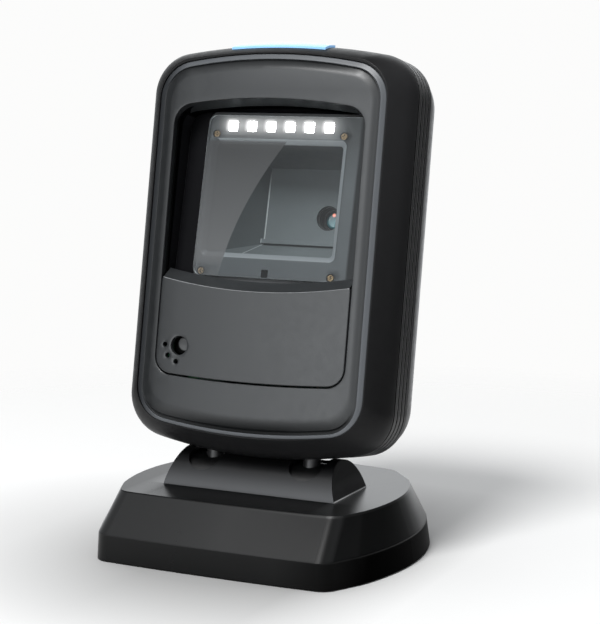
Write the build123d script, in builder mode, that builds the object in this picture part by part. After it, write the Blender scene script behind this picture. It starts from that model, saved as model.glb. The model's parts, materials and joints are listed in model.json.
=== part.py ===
from build123d import *
import os
from math import sin, cos, tan, radians

# Presentation barcode scanner: a reading head hinged on a weighted base.
# Millimetres, +Z up, +Y to the back; the user is on the -Y side. The origin is on the
# bench, straight below the hinge axis, in the middle of the width.
#
# The head leans back and is drawn in its own frame: x across, u up along the head and
# n the depth behind the lip plane of the face. The optics use the plane of the inner
# panel, with d the distance in front of that panel. On face and panel planes a positive
# extrusion comes towards the user and a negative one goes deeper.

os.makedirs("parts", exist_ok=True)

# ==================================================================== DRIVING DIMENSIONS
PLATE_Z = 19.4            # flat top of the base
AXIS_Z = 18.1             # hinge axis height
REST_TILT = 10.5          # the face leans back this much at rest, degrees
FACE_BACK = 17.5          # lip plane of the face to the origin of the head frame

# Head outlines: half width, lowest and highest u
LIP_W, LIP_BOT, LIP_TOP = 38.0, 15.0, 130.3
WIN_W, WIN_BOT, WIN_TOP = 31.85, 58.55, 116.4        # window opening in the bezel
COVER_W, COVER_BOT, COVER_TOP = 31.7, 31.1, 58.3     # lower cover plate
LIP_ARCS = (185, 162)     # radii of the bowed bottom and top ends
WIN_ARCS = (171, 190)
HULL_ARCS = (160, 200)

PARTING_N = 10.0          # depth of the seam between the two head shells
WALL = 1.8                # wall of both head shells
BEZEL_T = 2.6             # thickness of the bezel rim
LEDGE_N = 2.65            # seat of the bezel in the front housing
FACE_RISE = 1.3           # the face stands proud of its rim

BUTTON_AT = (-23.7, 40.6)                            # x, u
BUTTON_R, BUTTON_HOLE_R = 2.72, 2.9
SOUND_HOLES = [(-28.7, 40.65), (-27.5, 37.4), (-24.4, 35.7)]

PANEL_TILT = 3.6          # the inner panel leans back a little more than the face
PANEL_U0, PANEL_N0 = 64.0, 5.7                       # origin of the panel frame
OPEN_W, OPEN_BOT, OPEN_TOP = 22.5, 69.0, 105.2       # reading window in the panel

SHAFT_R = 2.5
POST_X, POST_N, POST_R = 16.5, 15.1, 2.7             # neck posts
POSTS = [(-POST_X, 0), (POST_X, 0)]
RUN = 0.05                # running clearance at the hinge
FIT = 0.02                # clearance around a pin or post

# ==================================================================== FRAMES
SIN_TILT, COS_TILT = sin(radians(REST_TILT)), cos(radians(REST_TILT))
FACE_NORMAL = (0, -COS_TILT, SIN_TILT)
FACE_AXIS = Axis((0, 0, 0), FACE_NORMAL)
PANEL_LEAN = radians(REST_TILT + PANEL_TILT)
PANEL_NORMAL = (0, -cos(PANEL_LEAN), sin(PANEL_LEAN))
PANEL_AXIS = Axis((0, 0, 0), PANEL_NORMAL)

# Plane across the hinge axis, looking along +X: local x is y, local y is z
HINGE = Plane(origin=(0, 0, AXIS_Z), x_dir=(0, 1, 0), z_dir=(1, 0, 0))


def head_point(n, u):
    """Point on the middle line of the head, n deep and u up."""
    return (0, u * SIN_TILT + (n - FACE_BACK) * COS_TILT,
            PLATE_Z + u * COS_TILT - (n - FACE_BACK) * SIN_TILT)


def face_plane(n):
    """Plane parallel to the face, looking at the user. Local y is u."""
    return Plane(origin=head_point(n, 0.0), x_dir=(1, 0, 0), z_dir=FACE_NORMAL)


def up_plane(n, u):
    """Plane square to the long direction of the head, looking up along it."""
    return Plane(origin=head_point(n, u), x_dir=(1, 0, 0), z_dir=(0, SIN_TILT, COS_TILT))


def panel_plane(d):
    """Plane parallel to the inner panel, d in front of it. Local y is u - PANEL_U0."""
    _, y, z = head_point(PANEL_N0, PANEL_U0)
    return Plane(origin=(0, y + d * PANEL_NORMAL[1], z + d * PANEL_NORMAL[2]),
                 x_dir=(1, 0, 0), z_dir=PANEL_NORMAL)


def panel_at(x, u):
    """Local place on a panel plane."""
    return (x, u - PANEL_U0)


def corners(x, low, high):
    """Four places, mirrored left and right."""
    return [(-x, low), (x, low), (-x, high), (x, high)]


# ==================================================================== SHARED SHAPES
def outline(half_width, bottom, top, bottom_radius, top_radius, corner, top_corner=None):
    """Head outline: bowed ends, straight sides, round corners.
    A negative end radius bows that end inwards."""
    low = bottom + half_width * half_width / (2 * bottom_radius)
    high = top - half_width * half_width / (2 * top_radius)
    with BuildSketch(Plane.XY) as shape:
        with BuildLine():
            ThreePointArc((-half_width, low), (0, bottom), (half_width, low))
            Line((half_width, low), (half_width, high))
            ThreePointArc((half_width, high), (0, top), (-half_width, high))
            Line((-half_width, high), (-half_width, low))
        make_face()
        fillet(shape.vertices().group_by(Axis.Y)[0], corner)
        fillet(shape.vertices().group_by(Axis.Y)[-1], top_corner or corner)
    return shape.sketch


def lip_outline(inset, corner, bottom_inset=None):
    """Outline of the bezel lip, drawn in all round, or by another amount at the bottom."""
    if bottom_inset is None:
        bottom_inset = inset
    return outline(LIP_W - inset, LIP_BOT + bottom_inset, LIP_TOP - inset, *LIP_ARCS, corner)


def hull_outline(half_width, bottom, top, corner, inset=0.0):
    """Outline of the outer hull, drawn in by inset."""
    return outline(half_width - inset, bottom + inset, top - inset, *HULL_ARCS, corner - inset)


def hull(sections, inset=0.0, depths=None):
    """Hull sections ready to loft, at their own depths or at the given ones."""
    sketches = []
    for depth, section in zip(depths or [row[0] for row in sections], sections):
        with BuildSketch(face_plane(depth)) as shape:
            add(hull_outline(*section[1:], inset))
        sketches.append(shape.sketch)
    return sketches


def base_outline(plan, inset=0.0):
    """Plan of the base at one height, drawn in by inset."""
    points, front, back, radii = plan
    right = points
    left = [(-x, y) for x, y in points]
    with BuildSketch(Plane.XY) as shape:
        with BuildLine():
            ThreePointArc(left[0], (0, front), right[0])
            Line(right[0], right[1])
            TangentArc(right[2], right[1], tangent=(0, -1))
            TangentArc(right[2], right[3], tangent=(0, 1))
            Line(right[3], right[4])
            ThreePointArc(right[4], (0, back), left[4])
            Line(left[4], left[3])
            TangentArc(left[2], left[3], tangent=(0, 1))
            TangentArc(left[2], left[1], tangent=(0, -1))
            Line(left[1], left[0])
        make_face()
        # the widest point, number 2, is already smooth
        for (x, y), radius in zip(points[:2] + points[3:], radii):
            fillet([v for v in shape.vertices()
                    if abs(abs(v.X) - x) < 1e-4 and abs(v.Y - y) < 1e-4], radius)
        if inset > 0:
            offset(amount=-inset, mode=Mode.REPLACE)
    return shape.sketch


def discs(radius, places, mode=Mode.ADD):
    """Equal circles in the open sketch."""
    with Locations(*places):
        Circle(radius, mode=mode)


def save(piece, name):
    piece.part.label = name
    export_step(piece.part, f"parts/{name}.step")


def save_screws(name, plane_at, places, head, shank, slot=None):
    """Set of screws. plane_at gives the plane at a level; head and shank are
    (level, radius, length); slot is a cross (level, arm length, width, depth)."""
    with BuildPart() as screws:
        for level, radius, length in (head, shank):
            with BuildSketch(plane_at(level)):
                discs(radius, places)
            extrude(amount=length)
        if slot:
            level, arm, width, depth = slot
            with BuildSketch(plane_at(level)):
                with Locations(*places):
                    Rectangle(arm, width)
                    Rectangle(width, arm)
            extrude(amount=depth, mode=Mode.SUBTRACT)
    save(screws, name)


# ==================================================================== BASE
# Base plans: right-hand points from front to back (corner, bend, widest, bend, corner),
# y of front and back on the middle line, radii of the four corners and bends.
TOP = (((36.6, -25.2), (40.6, -16.0), (43.3, 2.0), (37.0, 26.0), (27.6, 36.6)),
       -26.4, 39.4, (5.5, 12.0, 12.0, 7.0))
SKIRT = (((37.6, -36.2), (43.0, -25.0), (47.7, 2.0), (41.0, 30.5), (29.5, 43.2)),
         -37.0, 45.6, (5.5, 12.0, 14.0, 9.0))
FOOT = (((38.0, -36.3), (43.9, -24.9), (48.8, 2.0), (42.0, 31.0), (30.2, 44.0)),
        -37.2, 46.4, (5.7, 12.0, 14.0, 9.2))
FOOT_Z, SKIRT_Z = 0.4, 8.3            # heights of the FOOT and SKIRT plans
BASE_WALL = 2.2
CEILING_Z = PLATE_Z - BASE_WALL       # underside of the flat top
HOLLOW_BEND_Z = SKIRT_Z - 0.6         # where the hollow starts to taper
PAD_T = 0.9                           # rubber sheet
COVER_T = 2.0                         # bottom cover
SCREW_POST_Z = 2.95                   # lower end of the screw posts
BALLAST_Z, BALLAST_T = 2.9, 4.7
BALLAST_TOP = BALLAST_Z + BALLAST_T
BASE_SCREWS = [(-31.0, -18.5), (31.0, -18.5), (-30.0, 25.0), (30.0, 25.0)]
BRACKET_SCREWS = corners(30.2, -4.2, 4.2)

# Top shell: skirt, wide bevel, flat top with the hinge opening.
with BuildPart() as base_shell:
    with BuildSketch(Plane.XY.offset(FOOT_Z)):
        add(base_outline(FOOT))
    with BuildSketch(Plane.XY.offset(SKIRT_Z)):
        add(base_outline(SKIRT))
    loft(ruled=True)
    with BuildSketch(Plane.XY.offset(SKIRT_Z)):
        add(base_outline(SKIRT))
    with BuildSketch(Plane.XY.offset(PLATE_Z)):
        add(base_outline(TOP))
    loft(ruled=True)
    # hollow, in two tapers like the outside
    with BuildSketch(Plane.XY.offset(FOOT_Z)):
        add(base_outline(FOOT, BASE_WALL))
    with BuildSketch(Plane.XY.offset(HOLLOW_BEND_Z)):
        add(base_outline(SKIRT, BASE_WALL))
    loft(ruled=True, mode=Mode.SUBTRACT)
    with BuildSketch(Plane.XY.offset(HOLLOW_BEND_Z)):
        add(base_outline(SKIRT, BASE_WALL))
    with BuildSketch(Plane.XY.offset(CEILING_Z)):
        add(base_outline(TOP, 0.6))
    loft(ruled=True, mode=Mode.SUBTRACT)
    with BuildSketch(Plane.XY.offset(PLATE_Z)):
        RectangleRounded(55.2, 22.2, 1.0)
    extrude(amount=-BASE_WALL, mode=Mode.SUBTRACT)
    # screw posts that reach down to the bottom cover
    with BuildSketch(Plane.XY.offset(CEILING_Z)):
        discs(3.0, BASE_SCREWS)
    extrude(amount=-(CEILING_Z - SCREW_POST_Z))
    with BuildSketch(Plane.XY.offset(SCREW_POST_Z)):
        discs(1.3, BASE_SCREWS)
    extrude(amount=11.0, mode=Mode.SUBTRACT)
save(base_shell, "base_shell")

# Bottom cover with countersunk holes below the posts.
with BuildPart() as base_plate:
    with BuildSketch(Plane.XY.offset(PAD_T)):
        add(base_outline(FOOT, 2.6))
    extrude(amount=COVER_T)
    for hole_radius, depth in ((1.5, COVER_T), (2.7, 1.2)):
        with BuildSketch(Plane.XY.offset(PAD_T)):
            discs(hole_radius, BASE_SCREWS)
        extrude(amount=depth, mode=Mode.SUBTRACT)
save(base_plate, "base_plate")

# One-piece rubber sheet under the base, with holes over the screws.
with BuildPart() as anti_slip_pad:
    with BuildSketch(Plane.XY):
        add(base_outline(FOOT, 4.6))
        discs(2.9, BASE_SCREWS, Mode.SUBTRACT)
    extrude(amount=PAD_T)
save(anti_slip_pad, "anti_slip_pad")

# Steel ballast plate, cleared around the posts and drilled for the bracket screws.
with BuildPart() as counterweight:
    with BuildSketch(Plane.XY.offset(BALLAST_Z)):
        add(base_outline(FOOT, 8.0))
        discs(3.4, BASE_SCREWS, Mode.SUBTRACT)
    extrude(amount=BALLAST_T)
    with BuildSketch(Plane.XY.offset(BALLAST_TOP)):
        discs(1.52, BRACKET_SCREWS)
    extrude(amount=-3.7, mode=Mode.SUBTRACT)
save(counterweight, "counterweight")

save_screws("base_screws", Plane.XY.offset, BASE_SCREWS,
            head=(1.0, 2.4, 1.1), shank=(2.1, 1.25, 9.4), slot=(1.0, 2.6, 0.5, 0.6))

# ==================================================================== HINGE
HOOD_R, HOOD_HALF = 11.75, 29.0       # half-round cover over the hinge
HOOD_WALL = 1.5
END_WALL = 1.57                       # leaning end walls, measured along x at the base
END_H = 14.0                          # height used to draw the lean
END_RUN = END_H * tan(radians(17))    # the end walls lean in by this over END_H
SLOT_X, SLOT_R = 17.2, 5.6            # slots for the neck posts
SLOT_FRONT, SLOT_BACK = 28.0, -8.0    # slot ends, degrees from upright towards the user
RIM_H = 1.6                           # locating rim below the plate top
DRUM_R, DRUM_HALF = 9.9, 23.6
BRACKET_X, BRACKET_T = 24.15, 1.5     # inner face and thickness of the brackets
BRACKET_TOP_R, BRACKET_FOOT_Y, BRACKET_FOOT_W = 5.4, 7.0, 10.0
PIN_HALF = 26.6
GROOVE_X, GROOVE_W = 26.0, 0.64       # clip grooves in the pin
CLIP_T = 0.58

# Half-round cover over the hinge, with two slots for the neck posts.
with BuildPart() as hinge_cover:
    with BuildSketch(HINGE.offset(-HOOD_HALF)):
        Circle(HOOD_R)
    extrude(amount=2 * HOOD_HALF)
    # keep what stands above the base
    with BuildSketch(Plane.XY.offset(PLATE_Z)):
        Rectangle(90, 40)
    extrude(amount=-40, mode=Mode.SUBTRACT)
    # end walls lean inwards
    for side in (1, -1):
        with BuildSketch(Plane.XZ.offset(-20)):
            with BuildLine():
                Polyline((side * HOOD_HALF, PLATE_Z),
                         (side * (HOOD_HALF - END_RUN), PLATE_Z + END_H),
                         (side * (HOOD_HALF + 8), PLATE_Z + END_H),
                         (side * (HOOD_HALF + 8), PLATE_Z), close=True)
            make_face()
        extrude(amount=40, mode=Mode.SUBTRACT)
    fillet(hinge_cover.edges().filter_by(
        lambda e: abs(e.center().Y) < 6 and e.center().Z > PLATE_Z + 4), 0.45)
    # hollow inside, then fill the end walls back in and trim them to the round
    with BuildSketch(HINGE.offset(-HOOD_HALF + HOOD_WALL)):
        Circle(HOOD_R - HOOD_WALL)
    extrude(amount=2 * (HOOD_HALF - HOOD_WALL), mode=Mode.SUBTRACT)
    for side in (1, -1):
        with BuildSketch(Plane.XZ.offset(-20)):
            with BuildLine():
                Polyline((side * (HOOD_HALF - END_WALL), PLATE_Z),
                         (side * (HOOD_HALF - END_WALL - END_RUN), PLATE_Z + END_H),
                         (side * (HOOD_HALF - END_RUN - 0.02), PLATE_Z + END_H),
                         (side * HOOD_HALF, PLATE_Z), close=True)
            make_face()
        extrude(amount=40)
    with BuildSketch(HINGE.offset(-HOOD_HALF - 1)):
        Circle(HOOD_R + 20)
        Circle(HOOD_R, mode=Mode.SUBTRACT)
    extrude(amount=2 * HOOD_HALF + 2, mode=Mode.SUBTRACT)
    # slots: straight run over the top, round at both ends
    for slot_x in (-SLOT_X, SLOT_X):
        for angle in (radians(SLOT_FRONT), radians(SLOT_BACK)):
            with BuildSketch(Plane(origin=(slot_x, 0, AXIS_Z), x_dir=(1, 0, 0),
                                   z_dir=(0, -sin(angle), cos(angle)))):
                Circle(SLOT_R)
            extrude(amount=16, mode=Mode.SUBTRACT)
        start = radians(SLOT_BACK)
        with BuildSketch(Plane(origin=(0, 0, AXIS_Z), x_dir=(1, 0, 0),
                               z_dir=(0, -cos(start), -sin(start)))):
            with Locations((slot_x, 12.0)):
                Rectangle(2 * SLOT_R, 8.0)
        revolve(axis=Axis((0, 0, AXIS_Z), (1, 0, 0)),
                revolution_arc=SLOT_FRONT - SLOT_BACK, mode=Mode.SUBTRACT)
    # locating rim that drops into the opening, open in the middle of both ends
    with BuildSketch(Plane.XY.offset(PLATE_Z)):
        RectangleRounded(54.6, 21.9, 1.0)
        Rectangle(52.6, 20.3, mode=Mode.SUBTRACT)
        Rectangle(60.0, 8.4, mode=Mode.SUBTRACT)
    extrude(amount=-RIM_H)
    # two snap hooks at the middle: a leg and a nose pointing outwards
    for side in (1, -1):
        with BuildSketch(Plane.XY.offset(PLATE_Z - RIM_H)):
            with Locations((0, side * 10.55)):
                Rectangle(9.0, 0.8)
        extrude(amount=-2.0)
        with BuildSketch(Plane.XY.offset(PLATE_Z - 2.3)):
            with Locations((0, side * 10.95)):
                Rectangle(9.0, 1.6)
        extrude(amount=-1.3)
save(hinge_cover, "hinge_cover")

# Drum that turns with the head, under the cover.
with BuildPart() as hinge_drum:
    with BuildSketch(HINGE.offset(-DRUM_HALF)):
        Circle(DRUM_R)
        Circle(SHAFT_R + RUN, mode=Mode.SUBTRACT)
    extrude(amount=2 * DRUM_HALF)
    for post in POSTS:
        with BuildSketch(up_plane(POST_N, 3.0)):
            discs(POST_R + FIT, [post])
        extrude(amount=12, mode=Mode.SUBTRACT)
    # relief below, clear of the ballast when tilted
    with BuildSketch(up_plane(FACE_BACK, -20)):
        Rectangle(24.0, 30.0)
    extrude(amount=14.6, mode=Mode.SUBTRACT)
save(hinge_drum, "hinge_drum")

# Fixed steel pin through brackets, washers and drum.
with BuildPart() as hinge_shaft:
    with BuildSketch(HINGE.offset(-PIN_HALF)):
        Circle(SHAFT_R)
    extrude(amount=2 * PIN_HALF)
    for groove_x in (-GROOVE_X, GROOVE_X):
        with BuildSketch(HINGE.offset(groove_x - GROOVE_W / 2)):
            Circle(SHAFT_R)
            Circle(SHAFT_R - 0.5, mode=Mode.SUBTRACT)
        extrude(amount=GROOVE_W, mode=Mode.SUBTRACT)
    for end in (-1, 0):
        chamfer(hinge_shaft.faces().filter_by(Axis.X).sort_by(Axis.X)[end].edges(), 0.25)
save(hinge_shaft, "hinge_shaft")

# Steel angle brackets, bolted to the ballast plate, that carry the pin.
with BuildPart() as hinge_brackets:
    for side in (1, -1):
        foot_z = BALLAST_TOP - AXIS_Z
        with BuildSketch(HINGE.offset(side * BRACKET_X)):
            with BuildLine():
                Line((-BRACKET_FOOT_Y, foot_z), (BRACKET_FOOT_Y, foot_z))
                Line((BRACKET_FOOT_Y, foot_z), (BRACKET_TOP_R, 0.0))
                ThreePointArc((BRACKET_TOP_R, 0.0), (0, BRACKET_TOP_R), (-BRACKET_TOP_R, 0.0))
                Line((-BRACKET_TOP_R, 0.0), (-BRACKET_FOOT_Y, foot_z))
            make_face()
            Circle(SHAFT_R + FIT, mode=Mode.SUBTRACT)
        extrude(amount=side * BRACKET_T)
        with BuildSketch(Plane.XY.offset(BALLAST_TOP)):
            with Locations((side * (BRACKET_X + BRACKET_FOOT_W / 2), 0)):
                Rectangle(BRACKET_FOOT_W, 2 * BRACKET_FOOT_Y)
            discs(1.6, [(x, y) for x, y in BRACKET_SCREWS if x * side > 0], Mode.SUBTRACT)
        extrude(amount=BRACKET_T)
save(hinge_brackets, "hinge_brackets")

# Hexagon-socket screws of the brackets.
BRACKET_HEAD_Z = BALLAST_TOP + BRACKET_T
BRACKET_HEAD_H = 1.5
with BuildPart() as bracket_screws:
    with BuildSketch(Plane.XY.offset(BRACKET_HEAD_Z)):
        discs(2.5, BRACKET_SCREWS)
    extrude(amount=BRACKET_HEAD_H)
    fillet(bracket_screws.edges().group_by(Axis.Z)[-1], 0.4)
    with BuildSketch(Plane.XY.offset(BRACKET_HEAD_Z)):
        discs(1.48, BRACKET_SCREWS)
    extrude(amount=-5.0)
    with BuildSketch(Plane.XY.offset(BRACKET_HEAD_Z + BRACKET_HEAD_H)):
        with Locations(*BRACKET_SCREWS):
            RegularPolygon(1.4, 6)
    extrude(amount=-0.9, mode=Mode.SUBTRACT)
save(bracket_screws, "bracket_screws")

# Friction washers between drum and brackets hold the head at any angle.
with BuildPart() as friction_washers:
    for start_x in (DRUM_HALF + RUN, -BRACKET_X):
        with BuildSketch(HINGE.offset(start_x)):
            Circle(6.2)
            Circle(SHAFT_R + FIT, mode=Mode.SUBTRACT)
        extrude(amount=BRACKET_X - DRUM_HALF - RUN)
save(friction_washers, "friction_washers")

# Retaining clips in the grooves of the pin, open at the bottom.
with BuildPart() as shaft_clips:
    for groove_x in (-GROOVE_X, GROOVE_X):
        with BuildSketch(HINGE.offset(groove_x - CLIP_T / 2)):
            Circle(4.0)
            Circle(SHAFT_R - 0.48, mode=Mode.SUBTRACT)
            with Locations((0, -3.0)):
                Rectangle(3.2, 4.0, mode=Mode.SUBTRACT)
        extrude(amount=CLIP_T)
save(shaft_clips, "shaft_clips")

# Two round posts carry the head on the drum.
with BuildPart() as neck_posts:
    with BuildSketch(up_plane(POST_N, 3.1)):
        discs(POST_R, POSTS)
    extrude(amount=16.4)
    chamfer(neck_posts.edges().filter_by(GeomType.CIRCLE).group_by(Axis.Z)[-1], 0.5)
save(neck_posts, "neck_posts")

with BuildPart() as post_nuts:
    with BuildSketch(up_plane(POST_N, 15.25)):
        with Locations(*POSTS):
            RegularPolygon(4.5, 6)
            Circle(POST_R + FIT, mode=Mode.SUBTRACT)
    extrude(amount=3.0)
save(post_nuts, "post_nuts")

# ==================================================================== FACE
# Steps of the bezel face: inset from the lip, corner radius, inset at the bottom
GROOVE_OUTER = (1.5, 10.2)
FACE_FOOT = (2.1, 9.7)
FACE_SHOULDER = (3.3, 9.0, 4.0)
FACE_EDGE = (5.4, 7.2, 7.6)
GROOVE_N = 0.5            # floor of the groove between rim and face
SHOULDER_N = -0.9
POCKET_N = 0.9            # floor of the pocket for the lower cover
COVER_GAP = 0.45          # around the lower cover
COVER_N = 0.85            # back of the lower cover

# Front bezel: flat rim, groove, raised face with the window opening and the
# pocket for the lower cover.
with BuildPart() as front_bezel:
    with BuildSketch(face_plane(0.0)):
        add(lip_outline(0.0, 11.5))
    extrude(amount=-BEZEL_T)
    chamfer(front_bezel.faces().sort_by(Axis.Y)[0].edges(), 0.35)
    with BuildSketch(face_plane(GROOVE_N)):
        add(lip_outline(*GROOVE_OUTER))
        add(lip_outline(*FACE_FOOT), mode=Mode.SUBTRACT)
    extrude(amount=1.0, mode=Mode.SUBTRACT)
    with BuildSketch(face_plane(GROOVE_N)):
        add(lip_outline(*FACE_FOOT))
    extrude(amount=GROOVE_N)
    with BuildSketch(face_plane(0.0)):
        add(lip_outline(*FACE_FOOT))
    with BuildSketch(face_plane(SHOULDER_N)):
        add(lip_outline(*FACE_SHOULDER))
    loft()
    with BuildSketch(face_plane(SHOULDER_N)):
        add(lip_outline(*FACE_SHOULDER))
    with BuildSketch(face_plane(-FACE_RISE)):
        add(lip_outline(*FACE_EDGE))
    loft()
    # window opening
    with BuildSketch(face_plane(BEZEL_T)):
        add(outline(WIN_W, WIN_BOT, WIN_TOP, *WIN_ARCS, 0.8, 6.2))
    extrude(amount=6, mode=Mode.SUBTRACT)
    # pocket for the lower cover
    with BuildSketch(face_plane(POCKET_N)):
        add(outline(COVER_W + COVER_GAP, COVER_BOT - COVER_GAP, 64.0, 400, -400, 5.9, 0.2))
    extrude(amount=4, mode=Mode.SUBTRACT)
    # button hole and sound holes through the pocket floor
    with BuildSketch(face_plane(3.0)):
        discs(BUTTON_HOLE_R, [BUTTON_AT])
        discs(0.9, SOUND_HOLES)
    extrude(amount=4, mode=Mode.SUBTRACT)
save(front_bezel, "front_bezel")

# Lower cover plate in the pocket.
with BuildPart() as lower_cover:
    with BuildSketch(face_plane(COVER_N)):
        add(outline(COVER_W, COVER_BOT, COVER_TOP, 400, -171, 5.5, 0.6))
    extrude(amount=COVER_N + FACE_RISE)
    with BuildSketch(face_plane(POCKET_N)):
        discs(BUTTON_HOLE_R, [BUTTON_AT])
        discs(0.75, SOUND_HOLES)
    extrude(amount=3, mode=Mode.SUBTRACT)
    fillet(lower_cover.faces().sort_by(Axis.Y)[0].outer_wire().edges(), 0.3)
save(lower_cover, "lower_cover")

# ==================================================================== HEAD SHELLS
# Hull edges: half width, lowest u, highest u, corner radius
SEAM_EDGE = (44.1, 8.75, 134.3, 13.2)     # widest outline of the head
REAR_SKIRT = (43.35, 9.5, 133.5, 12.9)
# Hull sections: depth, then an edge
FRONT_HULL = [(0.3, 38.35, 14.6, 130.7, 11.8),
              (3.2, 41.3, 11.6, 132.6, 12.3),
              (6.4, 43.2, 9.7, 133.7, 12.8),
              (PARTING_N, *SEAM_EDGE)]
REAR_HULL = [(PARTING_N + 0.05, *REAR_SKIRT),
             (20.0, *REAR_SKIRT),
             (29.0, 41.6, 11.4, 131.8, 12.4),
             (35.2, 37.6, 16.2, 127.8, 11.2),
             (38.6, 31.5, 22.8, 121.5, 9.6)]
# Depths of the same sections when they shape the inside
FRONT_INNER_DEPTHS = (0.2, 3.2, 6.4, PARTING_N + 0.1)
REAR_INNER_DEPTHS = (PARTING_N, 20.0, 28.6, 34.0, 36.8)
RIB_W, RIB_PITCH = 1.6, 2.5
RIBS = [11.7 + RIB_PITCH * i for i in range(4)]      # middle depths
SCOOP_R = 12.5            # hollow in the head that clears the hinge cover
HOUSING_SCREWS = corners(37.0, 24.5, 118.5)
SCREW_SEAT_N = 14.0       # floor of the screw wells
LIGHT_BAR_U = 133         # middle of the cutters for the light bar

# Front housing: the ring that flares back from the bezel to the seam.
with BuildPart() as front_housing:
    loft(hull(FRONT_HULL))
    loft(hull(FRONT_HULL, WALL, FRONT_INNER_DEPTHS), mode=Mode.SUBTRACT)
    # ledge behind the bezel
    with BuildSketch(face_plane(LEDGE_N)):
        add(outline(39.6, 13.4, 131.7, 165, 180, 11.8))
        add(outline(36.2, 16.8, 128.4, 165, 180, 10.4), mode=Mode.SUBTRACT)
    extrude(amount=-1.5)
    # seat of the bezel
    with BuildSketch(face_plane(LEDGE_N)):
        add(lip_outline(-0.05, 11.5))
    extrude(amount=4, mode=Mode.SUBTRACT)
    # screw bosses
    with BuildSketch(face_plane(PARTING_N)):
        discs(2.7, HOUSING_SCREWS)
    extrude(amount=6.0)
    with BuildSketch(face_plane(PARTING_N)):
        discs(1.2, HOUSING_SCREWS)
    extrude(amount=5.2, mode=Mode.SUBTRACT)
    # slot for the light bar
    with BuildSketch(face_plane(9.7)):
        with Locations((0, LIGHT_BAR_U)):
            Rectangle(31.6, 12.0)
    extrude(amount=6.8, mode=Mode.SUBTRACT)
save(front_housing, "front_housing")

# Curved light bar in the slot, a little proud of the housing.
with BuildPart() as indicator_light_bar:
    loft(hull(FRONT_HULL, -0.7))
    loft(hull(FRONT_HULL, 2.2, FRONT_INNER_DEPTHS), mode=Mode.SUBTRACT)
    with BuildSketch(face_plane(9.65)):
        with Locations((0, LIGHT_BAR_U)):
            Rectangle(31.5, 12.0)
    extrude(amount=6.7, mode=Mode.INTERSECT)
save(indicator_light_bar, "indicator_light_bar")

# Rear cover: ribbed skirt, domed back, hollow for the hinge cover.
with BuildPart() as rear_cover:
    loft(hull(REAR_HULL))
    for rib_n in RIBS:
        with BuildSketch(face_plane(rib_n + RIB_W / 2)):
            add(hull_outline(*SEAM_EDGE))
        extrude(amount=RIB_W)
    with BuildSketch(face_plane(PARTING_N + 0.8)):
        add(hull_outline(42.9, 9.95, 133.05, 12.6))
    extrude(amount=0.75)
    # cavity, kept away from the hinge hollow, the neck posts and the screw wells
    with BuildPart(mode=Mode.PRIVATE) as cavity:
        loft(hull(REAR_HULL, WALL, REAR_INNER_DEPTHS))
        with BuildSketch(HINGE.offset(-60)):
            Circle(SCOOP_R + WALL)
        extrude(amount=120, mode=Mode.SUBTRACT)
        with BuildSketch(up_plane(POST_N, 5.0)):
            discs(5.0, POSTS)
        extrude(amount=10.2, mode=Mode.SUBTRACT)
        with BuildSketch(face_plane(PARTING_N)):
            discs(3.6, HOUSING_SCREWS)
        extrude(amount=-40, mode=Mode.SUBTRACT)
    add(cavity.part, mode=Mode.SUBTRACT)
    with BuildSketch(HINGE.offset(-60)):
        Circle(SCOOP_R)
    extrude(amount=120, mode=Mode.SUBTRACT)
    with BuildSketch(up_plane(POST_N, 3.0)):
        discs(POST_R + FIT, POSTS)
    extrude(amount=16, mode=Mode.SUBTRACT)
    # screw holes, and wells from the back
    with BuildSketch(face_plane(PARTING_N - 1)):
        discs(1.4, HOUSING_SCREWS)
    extrude(amount=-40, mode=Mode.SUBTRACT)
    with BuildSketch(face_plane(SCREW_SEAT_N)):
        discs(2.5, HOUSING_SCREWS)
    extrude(amount=-40, mode=Mode.SUBTRACT)
    # opening for the data plug
    with BuildSketch(face_plane(30.0)):
        with Locations((0, 30.5)):
            RectangleRounded(13.0, 8.6, 0.8)
    extrude(amount=-12, mode=Mode.SUBTRACT)
save(rear_cover, "rear_cover")

save_screws("housing_screws", face_plane, HOUSING_SCREWS,
            head=(SCREW_SEAT_N + 0.05, 2.3, -1.7), shank=(SCREW_SEAT_N + 0.05, 1.15, 8.6),
            slot=(15.75, 2.6, 0.5, 0.8))

# ==================================================================== WINDOW AND PANEL
PANEL_MID = panel_at(0, 85.4)
OPENING_MID = panel_at(0, (OPEN_BOT + OPEN_TOP) / 2)
PANEL_SCREWS = [panel_at(-22.0, 64.1), panel_at(22.0, 64.1),
                panel_at(-21.6, 106.8), panel_at(21.6, 106.8)]
CHAMBER_SCREWS = corners(28.3, 2.0, 43.0)
LEDS_MID = panel_at(0, 109.4)
LED_COUNT, LED_PITCH = 6, 6.53
SENSOR_AT = (0, 0.2)
REAR_D = -1.7             # just behind the inner panel
SMALL_BOARD_T = 0.9


def opening_size(growth):
    """Width and height of the reading window, made larger by growth."""
    return 2 * OPEN_W + growth, OPEN_TOP - OPEN_BOT + growth


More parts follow.
